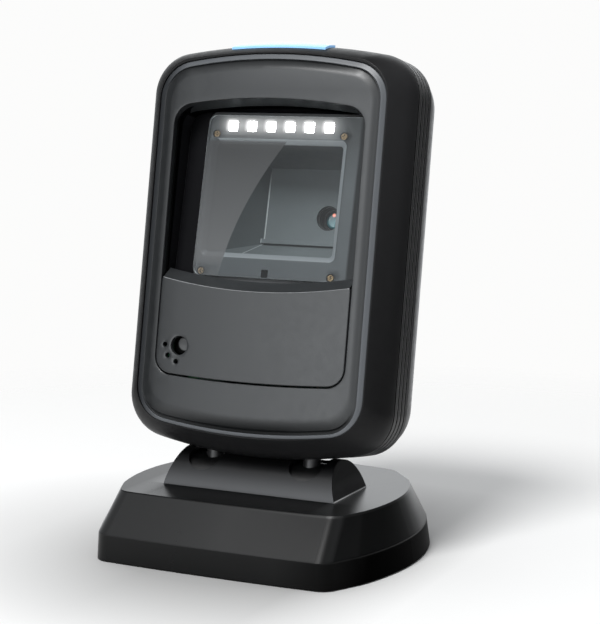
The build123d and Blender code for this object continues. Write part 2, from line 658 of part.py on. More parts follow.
# Surround: a well from the bezel opening down to a ledge around the glass.
with BuildPart() as window_surround:
    with BuildSketch(face_plane(-0.2)):
        add(outline(WIN_W - 0.1, WIN_BOT + 0.1, WIN_TOP - 0.1, *WIN_ARCS, 0.8, 6.1))
    extrude(amount=-16)
    # flange behind the bezel
    with BuildSketch(face_plane(LEDGE_N)):
        add(outline(34.4, 56.2, 118.6, 400, 190, 1.0, 7.0))
    extrude(amount=-1.6)
    with BuildSketch(panel_plane(-1.65)):
        Rectangle(200, 300)
    extrude(amount=-30, mode=Mode.SUBTRACT)
    # straight-walled well in front of a flat ledge level with the inner panel
    with BuildPart(mode=Mode.PRIVATE) as well:
        with BuildSketch(face_plane(-0.3)):
            add(outline(WIN_W - 0.8, WIN_BOT + 0.85, WIN_TOP - 0.8, *WIN_ARCS, 0.9, 5.5))
        extrude(amount=-20)
        with BuildSketch(panel_plane(0.0)):
            Rectangle(200, 300)
        extrude(amount=-40, mode=Mode.SUBTRACT)
    add(well.part, mode=Mode.SUBTRACT)
    # seat of the panel
    with BuildSketch(panel_plane(0.0)):
        with Locations(PANEL_MID):
            RectangleRounded(50.9, 56.7, 3.2)
    extrude(amount=-8, mode=Mode.SUBTRACT)
    with BuildSketch(panel_plane(-2.0)):
        discs(0.8, CHAMBER_SCREWS)
    extrude(amount=1.4, mode=Mode.SUBTRACT)
save(window_surround, "window_surround")

with BuildPart() as window_glass:
    with BuildSketch(panel_plane(0.0)):
        with Locations(panel_at(3.1, 87.55)):
            RectangleRounded(54.8, 50.1, 2.5)
    extrude(amount=0.9)
    chamfer(window_glass.edges().group_by(PANEL_AXIS)[-1], 0.15)
save(window_glass, "window_glass")

# Inner panel with reading window, LED windows and sensor hole.
with BuildPart() as inner_panel:
    with BuildSketch(panel_plane(-1.6)):
        with Locations(PANEL_MID):
            RectangleRounded(50.7, 56.5, 3.1)
        with Locations(OPENING_MID):
            RectangleRounded(*opening_size(-1.6), 0.8, mode=Mode.SUBTRACT)
        with Locations(LEDS_MID):
            with GridLocations(LED_PITCH, 1, LED_COUNT, 1):
                Rectangle(3.3, 3.3, mode=Mode.SUBTRACT)
        with Locations(SENSOR_AT):
            Rectangle(2.1, 2.35, mode=Mode.SUBTRACT)
    extrude(amount=1.55)
    # bevel around the reading window
    with BuildSketch(panel_plane(-1.3)):
        with Locations(OPENING_MID):
            RectangleRounded(*opening_size(-1.6), 0.8)
    with BuildSketch(panel_plane(0.0)):
        with Locations(OPENING_MID):
            RectangleRounded(*opening_size(0.8), 1.4)
    loft(mode=Mode.SUBTRACT)
    # screw holes and their counterbores
    for level, hole_radius in ((-2.0, 0.65), (-0.95, 1.28)):
        with BuildSketch(panel_plane(level)):
            discs(hole_radius, PANEL_SCREWS)
        extrude(amount=3, mode=Mode.SUBTRACT)
save(inner_panel, "inner_panel")

save_screws("panel_screws", panel_plane, PANEL_SCREWS,
            head=(-0.9, 0.98, 0.75), shank=(-0.9, 0.6, -2.6), slot=(-0.15, 1.2, 0.28, -0.35))

# Lamp board with its row of LEDs.
with BuildPart() as led_board:
    with BuildSketch(panel_plane(REAR_D)):
        with Locations(LEDS_MID):
            Rectangle(38.4, 4.2)
    extrude(amount=-SMALL_BOARD_T)
save(led_board, "led_board")

with BuildPart() as illumination_leds:
    with BuildSketch(panel_plane(REAR_D)):
        with Locations(LEDS_MID):
            with GridLocations(LED_PITCH, 1, LED_COUNT, 1):
                RectangleRounded(3.0, 3.0, 0.3)
    extrude(amount=1.35)
save(illumination_leds, "illumination_leds")

# Sensor in its panel hole, on a small board.
with BuildPart() as presence_sensor:
    for width, height, depth in ((1.95, 2.2, 1.1), (7.0, 3.8, -SMALL_BOARD_T)):
        with BuildSketch(panel_plane(REAR_D)):
            with Locations(SENSOR_AT):
                Rectangle(width, height)
        extrude(amount=depth)
save(presence_sensor, "presence_sensor")

# ==================================================================== OPTICS
CHAMBER_BACK_D = -17.0    # inner face of the chamber's back wall
CHAMBER_BACK_MID = panel_at(6.5, 87.5)
CHAMBER_BACK_W, CHAMBER_BACK_H = 33.0, 24.0
LENS_U = 84.4
AIMER_AT = panel_at(11.2, LENS_U)
CAMERA_AT = panel_at(18.9, LENS_U)
ENGINE_D = CHAMBER_BACK_D - 1.4       # front of the reading engine
CHIP_D = ENGINE_D - 7.05              # back of the aiming LED and the image sensor

# Tapered chamber behind the panel, with a flange and lens openings in its back wall.
with BuildPart() as optical_chamber:
    with BuildSketch(panel_plane(REAR_D)):
        with Locations(panel_at(0, 84.9)):
            RectangleRounded(62.4, 54.4, 3.0)
    extrude(amount=-1.5)
    with BuildSketch(panel_plane(REAR_D)):
        with Locations(OPENING_MID):
            Rectangle(*opening_size(0.6))
    with BuildSketch(panel_plane(CHAMBER_BACK_D - 1.3)):
        with Locations(CHAMBER_BACK_MID):
            Rectangle(CHAMBER_BACK_W + 2.4, CHAMBER_BACK_H + 2.4)
    loft()
    with BuildSketch(panel_plane(-1.6)):
        with Locations(OPENING_MID):
            Rectangle(*opening_size(-1.6))
    with BuildSketch(panel_plane(CHAMBER_BACK_D)):
        with Locations(CHAMBER_BACK_MID):
            Rectangle(CHAMBER_BACK_W, CHAMBER_BACK_H)
    loft(mode=Mode.SUBTRACT)
    with BuildSketch(panel_plane(CHAMBER_BACK_D + 1)):
        discs(3.9, [AIMER_AT])
        discs(3.1, [CAMERA_AT])
    extrude(amount=-4, mode=Mode.SUBTRACT)
    # step along the floor near the back wall
    with BuildSketch(panel_plane(CHAMBER_BACK_D)):
        with Locations(panel_at(6.5, 76.1)):
            Rectangle(CHAMBER_BACK_W, 1.4)
    extrude(amount=2.4)
    # clearances for the lamp board and the sensor board
    with BuildSketch(panel_plane(-1.6)):
        with Locations(LEDS_MID):
            Rectangle(38.8, 4.5)
        with Locations(SENSOR_AT):
            Rectangle(7.4, 4.2)
    extrude(amount=-1.6, mode=Mode.SUBTRACT)
    # screw holes
    with BuildSketch(panel_plane(-1.6)):
        discs(0.62, PANEL_SCREWS)
        discs(1.0, CHAMBER_SCREWS)
    extrude(amount=-2.4, mode=Mode.SUBTRACT)
save(optical_chamber, "optical_chamber")

save_screws("chamber_screws", panel_plane, CHAMBER_SCREWS,
            head=(-3.25, 1.7, -1.2), shank=(-3.25, 0.76, 2.6))

# Housing of the reading engine: wide mouth and bore for the aimer, bore for the camera.
with BuildPart() as engine_housing:
    with BuildSketch(panel_plane(ENGINE_D)):
        with Locations(panel_at(14.8, LENS_U)):
            RectangleRounded(18.4, 12.0, 1.5)
    extrude(amount=-7.0)
    for bore_radius, place, depth in ((3.5, AIMER_AT, 3.0), (2.9, AIMER_AT, 9.0),
                                      (3.02, CAMERA_AT, 9.0)):
        with BuildSketch(panel_plane(ENGINE_D + 0.1)):
            discs(bore_radius, [place])
        extrude(amount=-depth, mode=Mode.SUBTRACT)
save(engine_housing, "engine_housing")

# Collimator in front of the aiming LED: flat back, rounded front.
with BuildPart() as aimer_lens:
    with BuildSketch(panel_plane(ENGINE_D - 4.2)):
        discs(2.85, [AIMER_AT])
    extrude(amount=1.5)
    fillet(aimer_lens.edges().group_by(PANEL_AXIS)[-1], 1.1)
save(aimer_lens, "aimer_lens")

AIMER_LED_T = 0.9
with BuildPart() as aimer_led:
    with BuildSketch(panel_plane(CHIP_D)):
        with Locations(AIMER_AT):
            Rectangle(2.6, 2.6)
    extrude(amount=AIMER_LED_T)
    with BuildSketch(panel_plane(CHIP_D + AIMER_LED_T)):
        discs(0.8, [AIMER_AT])
    extrude(amount=0.6)
save(aimer_led, "aimer_led")

with BuildPart() as lens_barrel:
    with BuildSketch(panel_plane(ENGINE_D + 1.2)):
        discs(2.98, [CAMERA_AT])
        discs(2.2, [CAMERA_AT], Mode.SUBTRACT)
    extrude(amount=-6.4)
save(lens_barrel, "lens_barrel")

with BuildPart() as camera_lens:
    with BuildSketch(panel_plane(ENGINE_D - 1.2)):
        discs(2.18, [CAMERA_AT])
    extrude(amount=1.6)
    fillet(camera_lens.edges().group_by(PANEL_AXIS)[-1], 0.8)
save(camera_lens, "camera_lens")

with BuildPart() as image_sensor:
    with BuildSketch(panel_plane(CHIP_D)):
        with Locations(CAMERA_AT):
            Rectangle(4.0, 4.0)
    extrude(amount=1.0)
save(image_sensor, "image_sensor")

with BuildPart() as imager_board:
    with BuildSketch(panel_plane(CHIP_D - 0.05)):
        with Locations(panel_at(14.0, LENS_U)):
            RectangleRounded(24.0, 18.0, 1.0)
    extrude(amount=-1.2)
save(imager_board, "imager_board")

# ==================================================================== ELECTRONICS
BOARD_N, BOARD_T = 25.6, 1.6          # back face and thickness of the main board
BOARD_REAR_N = BOARD_N + 0.05         # where the parts on the back face start
BOARD_SCREWS = corners(27.5, 28.0, 64.5)
SOCKET_AT, SOCKET_LENGTH = (0, 30.5), 9.6
LAMP_N, LAMP_U, LAMP_BOARD_T = 6.3, 128.6, 0.8       # indicator board under the light bar
SWITCH_BOARD_N = 7.6
SWITCH_N = SWITCH_BOARD_N - 0.05      # back of the parts on the switch board
SWITCH_H, BEEPER_H = 2.2, 3.2
BEEPER_AT = (-28.3, 33.0)

# Main board, parallel to the face in the lower half of the head.
with BuildPart() as main_board:
    with BuildSketch(face_plane(BOARD_N)):
        with Locations((0, 46.0)):
            RectangleRounded(62.0, 44.0, 1.5)
        discs(1.2, BOARD_SCREWS, Mode.SUBTRACT)
    extrude(amount=BOARD_T)
save(main_board, "main_board")

save_screws("board_screws", face_plane, BOARD_SCREWS,
            head=(BOARD_N - BOARD_T, 2.2, 1.3), shank=(BOARD_N - BOARD_T, 1.1, -6.0))

# Stand-offs behind the board.
with BuildPart() as board_standoffs:
    with BuildSketch(face_plane(BOARD_REAR_N)):
        with Locations(*BOARD_SCREWS):
            Circle(2.6)
            Circle(1.12, mode=Mode.SUBTRACT)
    extrude(amount=-5.6)
save(board_standoffs, "board_standoffs")

# One square and two oblong chips on the back of the board.
with BuildPart() as processor_chips:
    with BuildSketch(face_plane(BOARD_REAR_N)):
        with Locations((-10, 52)):
            Rectangle(12.0, 12.0)
        with Locations((9, 53), (9, 43)):
            Rectangle(9.0, 6.0)
    extrude(amount=-1.2)
save(processor_chips, "processor_chips")

# Socket for the cable plug, facing the opening in the back.
with BuildPart() as data_socket:
    with BuildSketch(face_plane(BOARD_REAR_N)):
        with Locations(SOCKET_AT):
            RectangleRounded(12.4, 8.0, 0.6)
    extrude(amount=-SOCKET_LENGTH)
    with BuildSketch(face_plane(BOARD_REAR_N + SOCKET_LENGTH)):
        with Locations(SOCKET_AT):
            Rectangle(10.2, 5.8)
    extrude(amount=7.0, mode=Mode.SUBTRACT)
save(data_socket, "data_socket")

with BuildPart() as indicator_board:
    with BuildSketch(up_plane(LAMP_N, LAMP_U)):
        Rectangle(26.0, 5.6)
    extrude(amount=LAMP_BOARD_T)
save(indicator_board, "indicator_board")

with BuildPart() as indicator_leds:
    with BuildSketch(up_plane(LAMP_N, LAMP_U + LAMP_BOARD_T)):
        with GridLocations(9.0, 1, 3, 1):
            Rectangle(2.8, 2.4)
    extrude(amount=0.9)
save(indicator_leds, "indicator_leds")

# Small board behind the lower cover for the key and the beeper.
with BuildPart() as switch_board:
    with BuildSketch(face_plane(SWITCH_BOARD_N)):
        with Locations((-22.5, 39.5)):
            RectangleRounded(22.0, 22.0, 1.0)
    extrude(amount=-1.0)
save(switch_board, "switch_board")

with BuildPart() as tactile_switch:
    with BuildSketch(face_plane(SWITCH_N)):
        with Locations(BUTTON_AT):
            Rectangle(6.0, 6.0)
    extrude(amount=SWITCH_H)
    with BuildSketch(face_plane(SWITCH_N - SWITCH_H)):
        discs(1.35, [BUTTON_AT])
    extrude(amount=-1.6, mode=Mode.SUBTRACT)
save(tactile_switch, "tactile_switch")

with BuildPart() as beeper:
    with BuildSketch(face_plane(SWITCH_N)):
        discs(4.0, [BEEPER_AT])
    extrude(amount=BEEPER_H)
    with BuildSketch(face_plane(SWITCH_N - BEEPER_H)):
        discs(0.9, [BEEPER_AT])
    extrude(amount=-1.0, mode=Mode.SUBTRACT)
save(beeper, "beeper")

# ==================================================================== BUTTON
# Round key, recessed in the lower cover, kept in by its collar, with a stem behind.
with BuildPart() as trigger_button:
    with BuildSketch(face_plane(1.7)):
        discs(BUTTON_R, [BUTTON_AT])
    extrude(amount=-1.3)
    fillet(trigger_button.edges().group_by(FACE_AXIS)[-1], 0.5)
    for level, radius, depth in ((2.7, 3.6, 0.7), (3.4, 1.2, 1.1)):
        with BuildSketch(face_plane(level)):
            discs(radius, [BUTTON_AT])
        extrude(amount=-depth)
save(trigger_button, "trigger_button")

with BuildPart() as switch_plunger:
    with BuildSketch(face_plane(4.55)):
        discs(1.25, [BUTTON_AT])
    extrude(amount=-1.5)
save(switch_plunger, "switch_plunger")
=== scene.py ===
"""Desktop scanner: a tall head with a deep reading window, hinged on a low base.

It stands on the floor z = 0 and faces -y; +x is to the right for someone facing it.
The face of the head leans back, and the panel behind its glass leans back a little more.
Shapes are laid out in millimetres in the frames below; the scene is in metres.
"""

import json
import math
import bpy
import bmesh
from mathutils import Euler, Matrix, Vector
from mathutils.geometry import delaunay_2d_cdt


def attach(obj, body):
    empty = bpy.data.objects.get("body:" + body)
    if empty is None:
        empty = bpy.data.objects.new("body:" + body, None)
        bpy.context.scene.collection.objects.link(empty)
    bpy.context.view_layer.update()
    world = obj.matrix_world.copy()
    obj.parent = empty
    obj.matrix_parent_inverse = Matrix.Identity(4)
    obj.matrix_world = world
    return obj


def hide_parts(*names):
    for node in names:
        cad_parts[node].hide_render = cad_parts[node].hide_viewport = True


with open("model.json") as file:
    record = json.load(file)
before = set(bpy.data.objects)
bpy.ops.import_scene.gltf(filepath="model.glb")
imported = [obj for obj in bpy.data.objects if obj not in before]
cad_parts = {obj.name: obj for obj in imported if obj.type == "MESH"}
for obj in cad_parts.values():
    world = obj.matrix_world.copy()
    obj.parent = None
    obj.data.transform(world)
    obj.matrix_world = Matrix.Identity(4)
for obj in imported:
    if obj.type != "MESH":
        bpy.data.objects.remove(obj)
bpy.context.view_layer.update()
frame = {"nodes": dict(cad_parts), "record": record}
NODES = frame["nodes"]
scene = bpy.context.scene

# ------------------------------------------------------------------ frames (mm in, metres out)
FACE_LEAN = 10.5                       # degrees back from upright
PANEL_TILT = 3.6                       # further lean of the inner panel
PANEL_LEAN = FACE_LEAN + PANEL_TILT
FACE_SIN, FACE_COS = math.sin(math.radians(FACE_LEAN)), math.cos(math.radians(FACE_LEAN))
PANEL_SIN, PANEL_COS = math.sin(math.radians(PANEL_LEAN)), math.cos(math.radians(PANEL_LEAN))
PANEL_SLOPE = math.tan(math.radians(PANEL_TILT))
FACE_FOOT_Z = 19.4                     # height where the face frame starts
LIP_SETBACK = 17.5                     # n at which u = 0 lies on y = 0
PANEL_FOOT_U, PANEL_FOOT_N = 64.0, 5.7  # foot of the inner panel in the face frame
PANEL_NORMAL = (0.0, -PANEL_COS, PANEL_SIN)


def metres(x, y, z):
    return Vector((x * 1e-3, y * 1e-3, z * 1e-3))


def face_yz(u, n):
    return (u * FACE_SIN + (n - LIP_SETBACK) * FACE_COS,
            FACE_FOOT_Z + u * FACE_COS - (n - LIP_SETBACK) * FACE_SIN)


PANEL_Y, PANEL_Z = face_yz(PANEL_FOOT_U, PANEL_FOOT_N)


def face_point(x, u, n):
    """Face frame: x across, u up the face, n deep from the lip plane."""
    return metres(x, *face_yz(u, n))


def panel_point(x, v, d):
    """Panel frame: v up the inner panel from its foot, d towards the user."""
    return metres(x, PANEL_Y + v * PANEL_SIN - d * PANEL_COS,
                  PANEL_Z + v * PANEL_COS + d * PANEL_SIN)


def on_face(n):
    return lambda x, u: face_point(x, u, n)


def on_panel(d):
    return lambda x, v: panel_point(x, v, d)


def panel_depth(u):
    """Depth n of the panel plane at height u."""
    return PANEL_FOOT_N + (u - PANEL_FOOT_U) * PANEL_SLOPE


# ------------------------------------------------------------------ driving values used in several places
LAMP_PITCH, LAMP_COUNT = 6.53, 6       # row of lamps along the top of the panel
LAMP_ROW_V = 45.4
GLASS_FRONT = 0.9                      # d of the front of the cover glass
SKIN = -1.3                            # n of the front skin on the centre line

CAMERA_AT = Vector((0.25332, -0.48997, 0.15214))
CAMERA_TURN = (math.radians(81.84), 0, math.radians(26.21))


# ------------------------------------------------------------------ outlines
def clamp(t):
    return max(0.0, min(1.0, t))


def smooth(t):
    t = clamp(t)
    return t * t * (3 - 2 * t)


def bow_radius(half_width, bow):
    """Signed radius of an end arc; a negative bow curves inwards."""
    rise = half_width * half_width / (2 * bow)
    return (half_width * half_width + rise * rise) / (2 * rise)


def bowed_end(half_width, level, bow, corner, sign, end_steps, corner_steps):
    """Right half of one end, from its centre round the corner. sign: 1 bottom, -1 top."""
    radius = bow_radius(half_width, bow)
    side = -sign if radius > 0 else sign
    centre = level + sign * radius
    inner = half_width - corner
    corner_y = centre + side * math.sqrt((radius - corner) ** 2 - inner ** 2)
    touch_x = inner * radius / (radius - corner)
    touch_y = centre + (corner_y - centre) * radius / (radius - corner)
    points = []
    for i in range(end_steps):
        x = touch_x * i / end_steps
        points.append((x, centre + side * math.sqrt(radius * radius - x * x)))
    start = math.atan2(touch_y - corner_y, touch_x - inner)
    for i in range(corner_steps + 1):
        a = start - start * i / corner_steps
        points.append((inner + corner * math.cos(a), corner_y + corner * math.sin(a)))
    return points


def outline(half_width, bottom, top, bottom_bow, top_bow, bottom_corner, top_corner,
            end_steps=28, corner_steps=12, side_steps=40):
    """Closed loop of (x, u) with straight sides; same steps give the same point count."""
    low = bowed_end(half_width, bottom, bottom_bow, bottom_corner, 1, end_steps, corner_steps)
    high = bowed_end(half_width, top, top_bow, top_corner, -1, end_steps, corner_steps)
    y0, y1 = low[-1][1], high[-1][1]
    side = [(half_width, y0 + (y1 - y0) * i / side_steps) for i in range(1, side_steps)]
    right = low + side + high[::-1]
    left = [(-x, y) for x, y in right[1:-1]][::-1]
    return right + left


def circle(cx, cy, radius, count):
    angles = [2 * math.pi * i / count for i in range(count)]
    return [(cx + radius * math.cos(a), cy + radius * math.sin(a)) for a in angles]


def rounded_rect(x0, x1, y0, y1, radius, steps=8):
    points = []
    corners = ((x1 - radius, y0 + radius, -90), (x1 - radius, y1 - radius, 0),
               (x0 + radius, y1 - radius, 90), (x0 + radius, y0 + radius, 180))
    for cx, cy, start in corners:
        for i in range(steps + 1):
            a = math.radians(start + 90 * i / steps)
            points.append((cx + radius * math.cos(a), cy + radius * math.sin(a)))
    return points


def inside(point, loop):
    """Even-odd test of a 2-D point against a closed loop."""
    x, y = point
    odd = False
    xj, yj = loop[-1]
    for xi, yi in loop:
        if (yi > y) != (yj > y) and x < (xj - xi) * (y - yi) / (yj - yi) + xi:
            odd = not odd
        xj, yj = xi, yi
    return odd


# ------------------------------------------------------------------ mesh builder
class Mesh:
    """Collects rings and faces, then becomes one object.

    A ring is a pair: its flat 2-D points and the indices of its vertices."""

    def __init__(self):
        self.verts, self.openness, self.faces, self.face_mats = [], [], [], []

    def ring(self, flat, place, shade=1.0):
        """shade: how open to light, for painted shade; one number or one per point; 1 is fully open."""
        start = len(self.verts)
        self.verts += [tuple(place(x, y)) for x, y in flat]
        self.openness += shade if isinstance(shade, list) else [shade] * len(flat)
        return flat, list(range(start, start + len(flat)))

    def tube(self, rings, material=None):
        """Joins rings in turn. material(level, i, point) picks the slot of each quad."""
        for level, ((flat, a), (_, b)) in enumerate(zip(rings, rings[1:])):
            for i in range(len(a)):
                j = (i + 1) % len(a)
                self.faces.append([a[i], a[j], b[j], b[i]])
                self.face_mats.append(material(level, i, flat[i]) if material else 0)

    def cap(self, ring, flip=False):
        indices = ring[1]
        self.faces.append(indices[::-1] if flip else list(indices))
        self.face_mats.append(0)

    def hole(self, shape, steps, on):
        """Tube through a plate from (size, depth, shade) steps; returns first and last ring."""
        rings = [self.ring(shape(size), on(depth), shade) for size, depth, shade in steps]
        self.tube(rings)
        return rings[0], rings[-1]

    def fill(self, outer_ring, hole_rings, step, place, mat=0):
        """Fine mesh between an outer ring and holes, on a grid with every other row shifted."""
        outer = outer_ring[0]
        holes = [flat for flat, _ in hole_rings]
        points, edges, indices = [], [], []
        for flat, ring_indices in [outer_ring] + hole_rings:
            k = len(points)
            points += [Vector(p) for p in flat]
            edges += [(k + i, k + (i + 1) % len(flat)) for i in range(len(flat))]
            indices += ring_indices
        border_count = len(points)
        cells = {}
        for bx, by in [tuple(p) for p in points]:
            cells.setdefault((int(bx // step), int(by // step)), []).append((bx, by))

        def region(p):
            return inside(p, outer) and not any(inside(p, h) for h in holes)

        def near_border(p):
            cx, cy = int(p[0] // step), int(p[1] // step)
            return any((q[0] - p[0]) ** 2 + (q[1] - p[1]) ** 2 < (0.45 * step) ** 2
                       for a in (-1, 0, 1) for b in (-1, 0, 1)
                       for q in cells.get((cx + a, cy + b), ()))

        xs = [p[0] for p in outer]
        ys = [p[1] for p in outer]
        for j in range(1, int((max(ys) - min(ys)) / step)):
            for i in range(1, int((max(xs) - min(xs)) / step)):
                p = (min(xs) + (i + 0.5 * (j % 2)) * step, min(ys) + j * step)
                if region(p) and not near_border(p):
                    points.append(Vector(p))
        verts, _, tris, sources, _, _ = delaunay_2d_cdt(points, edges, [], 0, 1e-6)
        remap = []
        for co, source in zip(verts, sources):
            border = [s for s in source if s < border_count]
            if border:
                remap.append(indices[border[0]])
            else:
                self.verts.append(tuple(place(co[0], co[1])))
                self.openness.append(1.0)
                remap.append(len(self.verts) - 1)
        for tri in tris:
            cx = sum(verts[t][0] for t in tri) / len(tri)
            cy = sum(verts[t][1] for t in tri) / len(tri)
            face = [remap[t] for t in tri]
            if region((cx, cy)) and len(set(face)) == len(face):
                self.faces.append(face)
                self.face_mats.append(mat)

    def make(self, name, materials, node, sharp=32.0):
        """Makes the object that stands in for a CAD node of the head. sharp: degrees."""
        me = bpy.data.meshes.new(name)
        me.from_pydata(self.verts, [], self.faces)
        me.polygons.foreach_set("material_index", self.face_mats)
        for material in materials:
            me.materials.append(MATERIALS[material])
        # painted shade per point: 1 less its openness to light
        painted_shade = me.attributes.new("painted_shade", "FLOAT", "POINT")
        painted_shade.data.foreach_set("value", [1.0 - s for s in self.openness])
        bm = bmesh.new()
        bm.from_mesh(me)
        bmesh.ops.remove_doubles(bm, verts=bm.verts, dist=1e-7)
        bmesh.ops.recalc_face_normals(bm, faces=bm.faces)
        bm.to_mesh(me)
        bm.free()
        me.validate()
        me.polygons.foreach_set("use_smooth", [True] * len(me.polygons))
        me.set_sharp_from_angle(angle=math.radians(sharp))
        me.update()
        ob = bpy.data.objects.new(name, me)
        scene.collection.objects.link(ob)
        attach(ob, "head")
        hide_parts(node)


# ------------------------------------------------------------------ shader node helpers
class Nodes:
    """Builds a node tree; any input takes a number, a colour or another node's output."""

    def __init__(self, tree, output):
        self.tree = tree
        tree.nodes.clear()
        self.output = self.node(output)

    def feed(self, socket, value):
        if isinstance(value, bpy.types.NodeSocket):
            self.tree.links.new(value, socket)
            return
        if isinstance(value, tuple) and len(value) == 3 and len(socket.default_value) == 4:
            value = (*value, 1.0)
        socket.default_value = value

    def node(self, kind, inputs=None, **settings):
        node = self.tree.nodes.new(kind)
        for key, value in settings.items():
            setattr(node, key, value)
        for key, value in (inputs or {}).items():
            self.feed(node.inputs[key], value)
        return node

    def get(self, output, kind, inputs=None, **settings):
        return self.node(kind, inputs, **settings).outputs[output]

    def surface(self, shader):
        self.feed(self.output.inputs["Surface"], shader)

    def remap(self, source, span, result, **settings):
        """Maps the span (start, end) of source to the result (start, end), clamped."""
        return self.get("Result", "ShaderNodeMapRange", {
            "From Min": span[0], "From Max": span[1],
            "To Min": result[0], "To Max": result[1], "Value": source}, **settings)

    def math(self, operation, *values, clamp=False):
        return self.get(0, "ShaderNodeMath", dict(enumerate(values)),
                        operation=operation, use_clamp=clamp)

    def chain(self, operation, first, *rest):
        for value in rest:
            first = self.math(operation, first, value)
        return first

    def mul(self, *values):
        return self.chain("MULTIPLY", *values)

    def add(self, *values):
        return self.chain("ADD", *values)

    def sub(self, a, b):
        return self.math("SUBTRACT", a, b)

    def dot(self, a, b):
        return self.get("Value", "ShaderNodeVectorMath", {0: a, 1: b}, operation="DOT_PRODUCT")

    def xyz(self, vector):
        return tuple(self.node("ShaderNodeSeparateXYZ", {0: vector}).outputs)

    def curve(self, source, points, top=1.0):
        """Smooth curve through (x, y) points, as a share of top."""
        node = self.node("ShaderNodeFloatCurve", {"Value": source})
        line = node.mapping.curves[0]
        line.points[0].location = (points[0][0], points[0][1] / top)
        line.points[1].location = (points[-1][0], points[-1][1] / top)
        for x, y in points[1:-1]:
            line.points.new(x, y / top)
        node.mapping.update()
        return node.outputs[0]

    def studio(self, x, y):
        """Studio brightness, as a share of STUDIO_TOP, in direction (x, y)."""
        angle = self.math("ARCTAN2", x, self.mul(y, -1.0))
        turn = self.math("DIVIDE", self.add(angle, math.pi), 2 * math.pi)
        points = [((degrees + 180) / 360, bright) for degrees, bright in STUDIO]
        return self.curve(turn, points, STUDIO_TOP)

    def ray(self, kind):
        return self.get(kind, "ShaderNodeLightPath")

    def mix_shader(self, factor, a, b):
        return self.get(0, "ShaderNodeMixShader", {0: factor, 1: a, 2: b})

    def add_shader(self, a, b):
        return self.get(0, "ShaderNodeAddShader", {0: a, 1: b})


class Material(Nodes):
    def __init__(self, name):
        self.material = bpy.data.materials.new(name)
        self.material.use_nodes = True
        super().__init__(self.material.node_tree, "ShaderNodeOutputMaterial")
        self.coord = self.get("Object", "ShaderNodeTexCoord")
        MATERIALS[name] = self.material

    def position(self):
        return self.xyz(self.coord)

    def normal(self):
        return self.xyz(self.get("Normal", "ShaderNodeNewGeometry"))

    def noise(self, scale, detail=3.0, roughness=0.55, stretch=None):
        vector = self.coord
        if stretch:
            vector = self.get("Vector", "ShaderNodeMapping", {"Scale": stretch, "Vector": vector})
        return self.get("Fac", "ShaderNodeTexNoise", {
            "Scale": scale, "Detail": detail, "Roughness": roughness, "Vector": vector})

    def vary(self, result, scale, detail=3.0):
        """Noise spread between the two result values."""
        return self.remap(self.noise(scale, detail), NOISE_SPAN, result)

    def mix(self, factor, a, b):
        return self.get(2, "ShaderNodeMix", {0: factor, 6: a, 7: b}, data_type="RGBA")

    def brighten(self, color, value):
        return self.get(0, "ShaderNodeHueSaturation", {"Color": color, "Value": value})

    def rounded(self, radius):
        """Normal with the edges rounded off."""
        return self.get(0, "ShaderNodeBevel", {"Radius": radius}, samples=4)

    def edge_mask(self, rounded):
        """1 where the rounded normal turns well away from the face."""
        turn = self.dot(rounded, self.get("Normal", "ShaderNodeNewGeometry"))
        return self.remap(turn, (0.995, 0.82), (0.0, 1.0))

    def bump(self, height, strength, distance, normal):
        return self.get("Normal", "ShaderNodeBump", {
            "Height": height, "Strength": strength, "Distance": distance, "Normal": normal})

    def principled(self, inputs):
        self.surface(self.get(0, "ShaderNodeBsdfPrincipled", inputs))


MATERIALS = {}
NOISE_SPAN = (0.3, 0.7)                # where nearly all noise values lie
# brightness of the studio seen in mirrors: (degrees from straight in front, brightness)
STUDIO = [
    (-180, 1.3), (-150, 1.5), (-110, 0.6), (-70, 0.06), (-46, 0.05), (-35, 0.62),
    (-28, 2.15), (-20, 3.15), (-12, 3.0), (4, 1.9), (20, 1.15), (36, 0.7),
    (60, 0.15), (110, 0.03), (150, 0.05), (168, 0.5), (180, 1.3)]
STUDIO_TOP = 4.2


def plastic(name, rgb, rough=0.42, spec=0.5, grain=5200.0, grain_depth=0.10, mottle=0.06,
            edge=0.25, bevel=0.00018, rough_var=0.05, smudge=0.04, painted_shade=False,
            wear_and_highlight_add=0.012, tone=None, gloss=None):
    """Moulded plastic: fine grain, faint mottling, smudged gloss, edges rubbed lighter as wear and as a
    painted highlight.

    painted_shade: darkens by the mesh attribute, as painted shade. tone(m, color) reworks the colour;
    gloss(m) is a factor on the specular level."""
    m = Material(name)
    rounded = m.rounded(bevel)
    mask = m.edge_mask(rounded)
    medium = m.noise(420.0, detail=4.0)
    mottling = m.add(m.vary((-mottle, mottle), 38.0, detail=2.0),
                     m.remap(medium, NOISE_SPAN, (-mottle * 0.5, mottle * 0.5)))
    color = m.brighten(rgb, m.add(mottling, 1.0))
    # edges rubbed lighter: wear, and also a painted highlight line along them
    rub_and_highlight = m.mul(mask, m.remap(m.noise(160.0), (0.35, 0.65), (0.8, 1.0)))
    wear_and_highlight = tuple(min(1.0, c * 1.9 + wear_and_highlight_add) for c in rgb)
    color = m.mix(m.mul(rub_and_highlight, edge), color, wear_and_highlight)
    streaks = m.noise(26.0, detail=5.0, roughness=0.7, stretch=(1.0, 1.0, 0.35))
    marks = m.remap(streaks, (0.35, 0.7), (-smudge, smudge))
    uneven = m.add(m.remap(medium, NOISE_SPAN, (-rough_var, rough_var)), marks)
    fine = m.noise(grain, detail=2.0, roughness=0.6)
    # painted shade in grooves and holes, read from the mesh attribute
    if painted_shade:
        attribute = m.get("Fac", "ShaderNodeAttribute", attribute_name="painted_shade")
        opened = m.sub(1.0, attribute)
        color = m.mix(opened, tuple(c * 0.12 for c in rgb), color)
        spec = m.mul(opened, spec)
    if tone:
        color = tone(m, color)
    if gloss:
        spec = m.mul(gloss(m), spec)
    m.principled({
        "Base Color": color,
        "Roughness": m.math("ADD", uneven, rough, clamp=True),
        "Specular IOR Level": spec,
        "Normal": m.bump(fine, grain_depth, 0.00004, rounded),
        "Coat Roughness": 0.12})


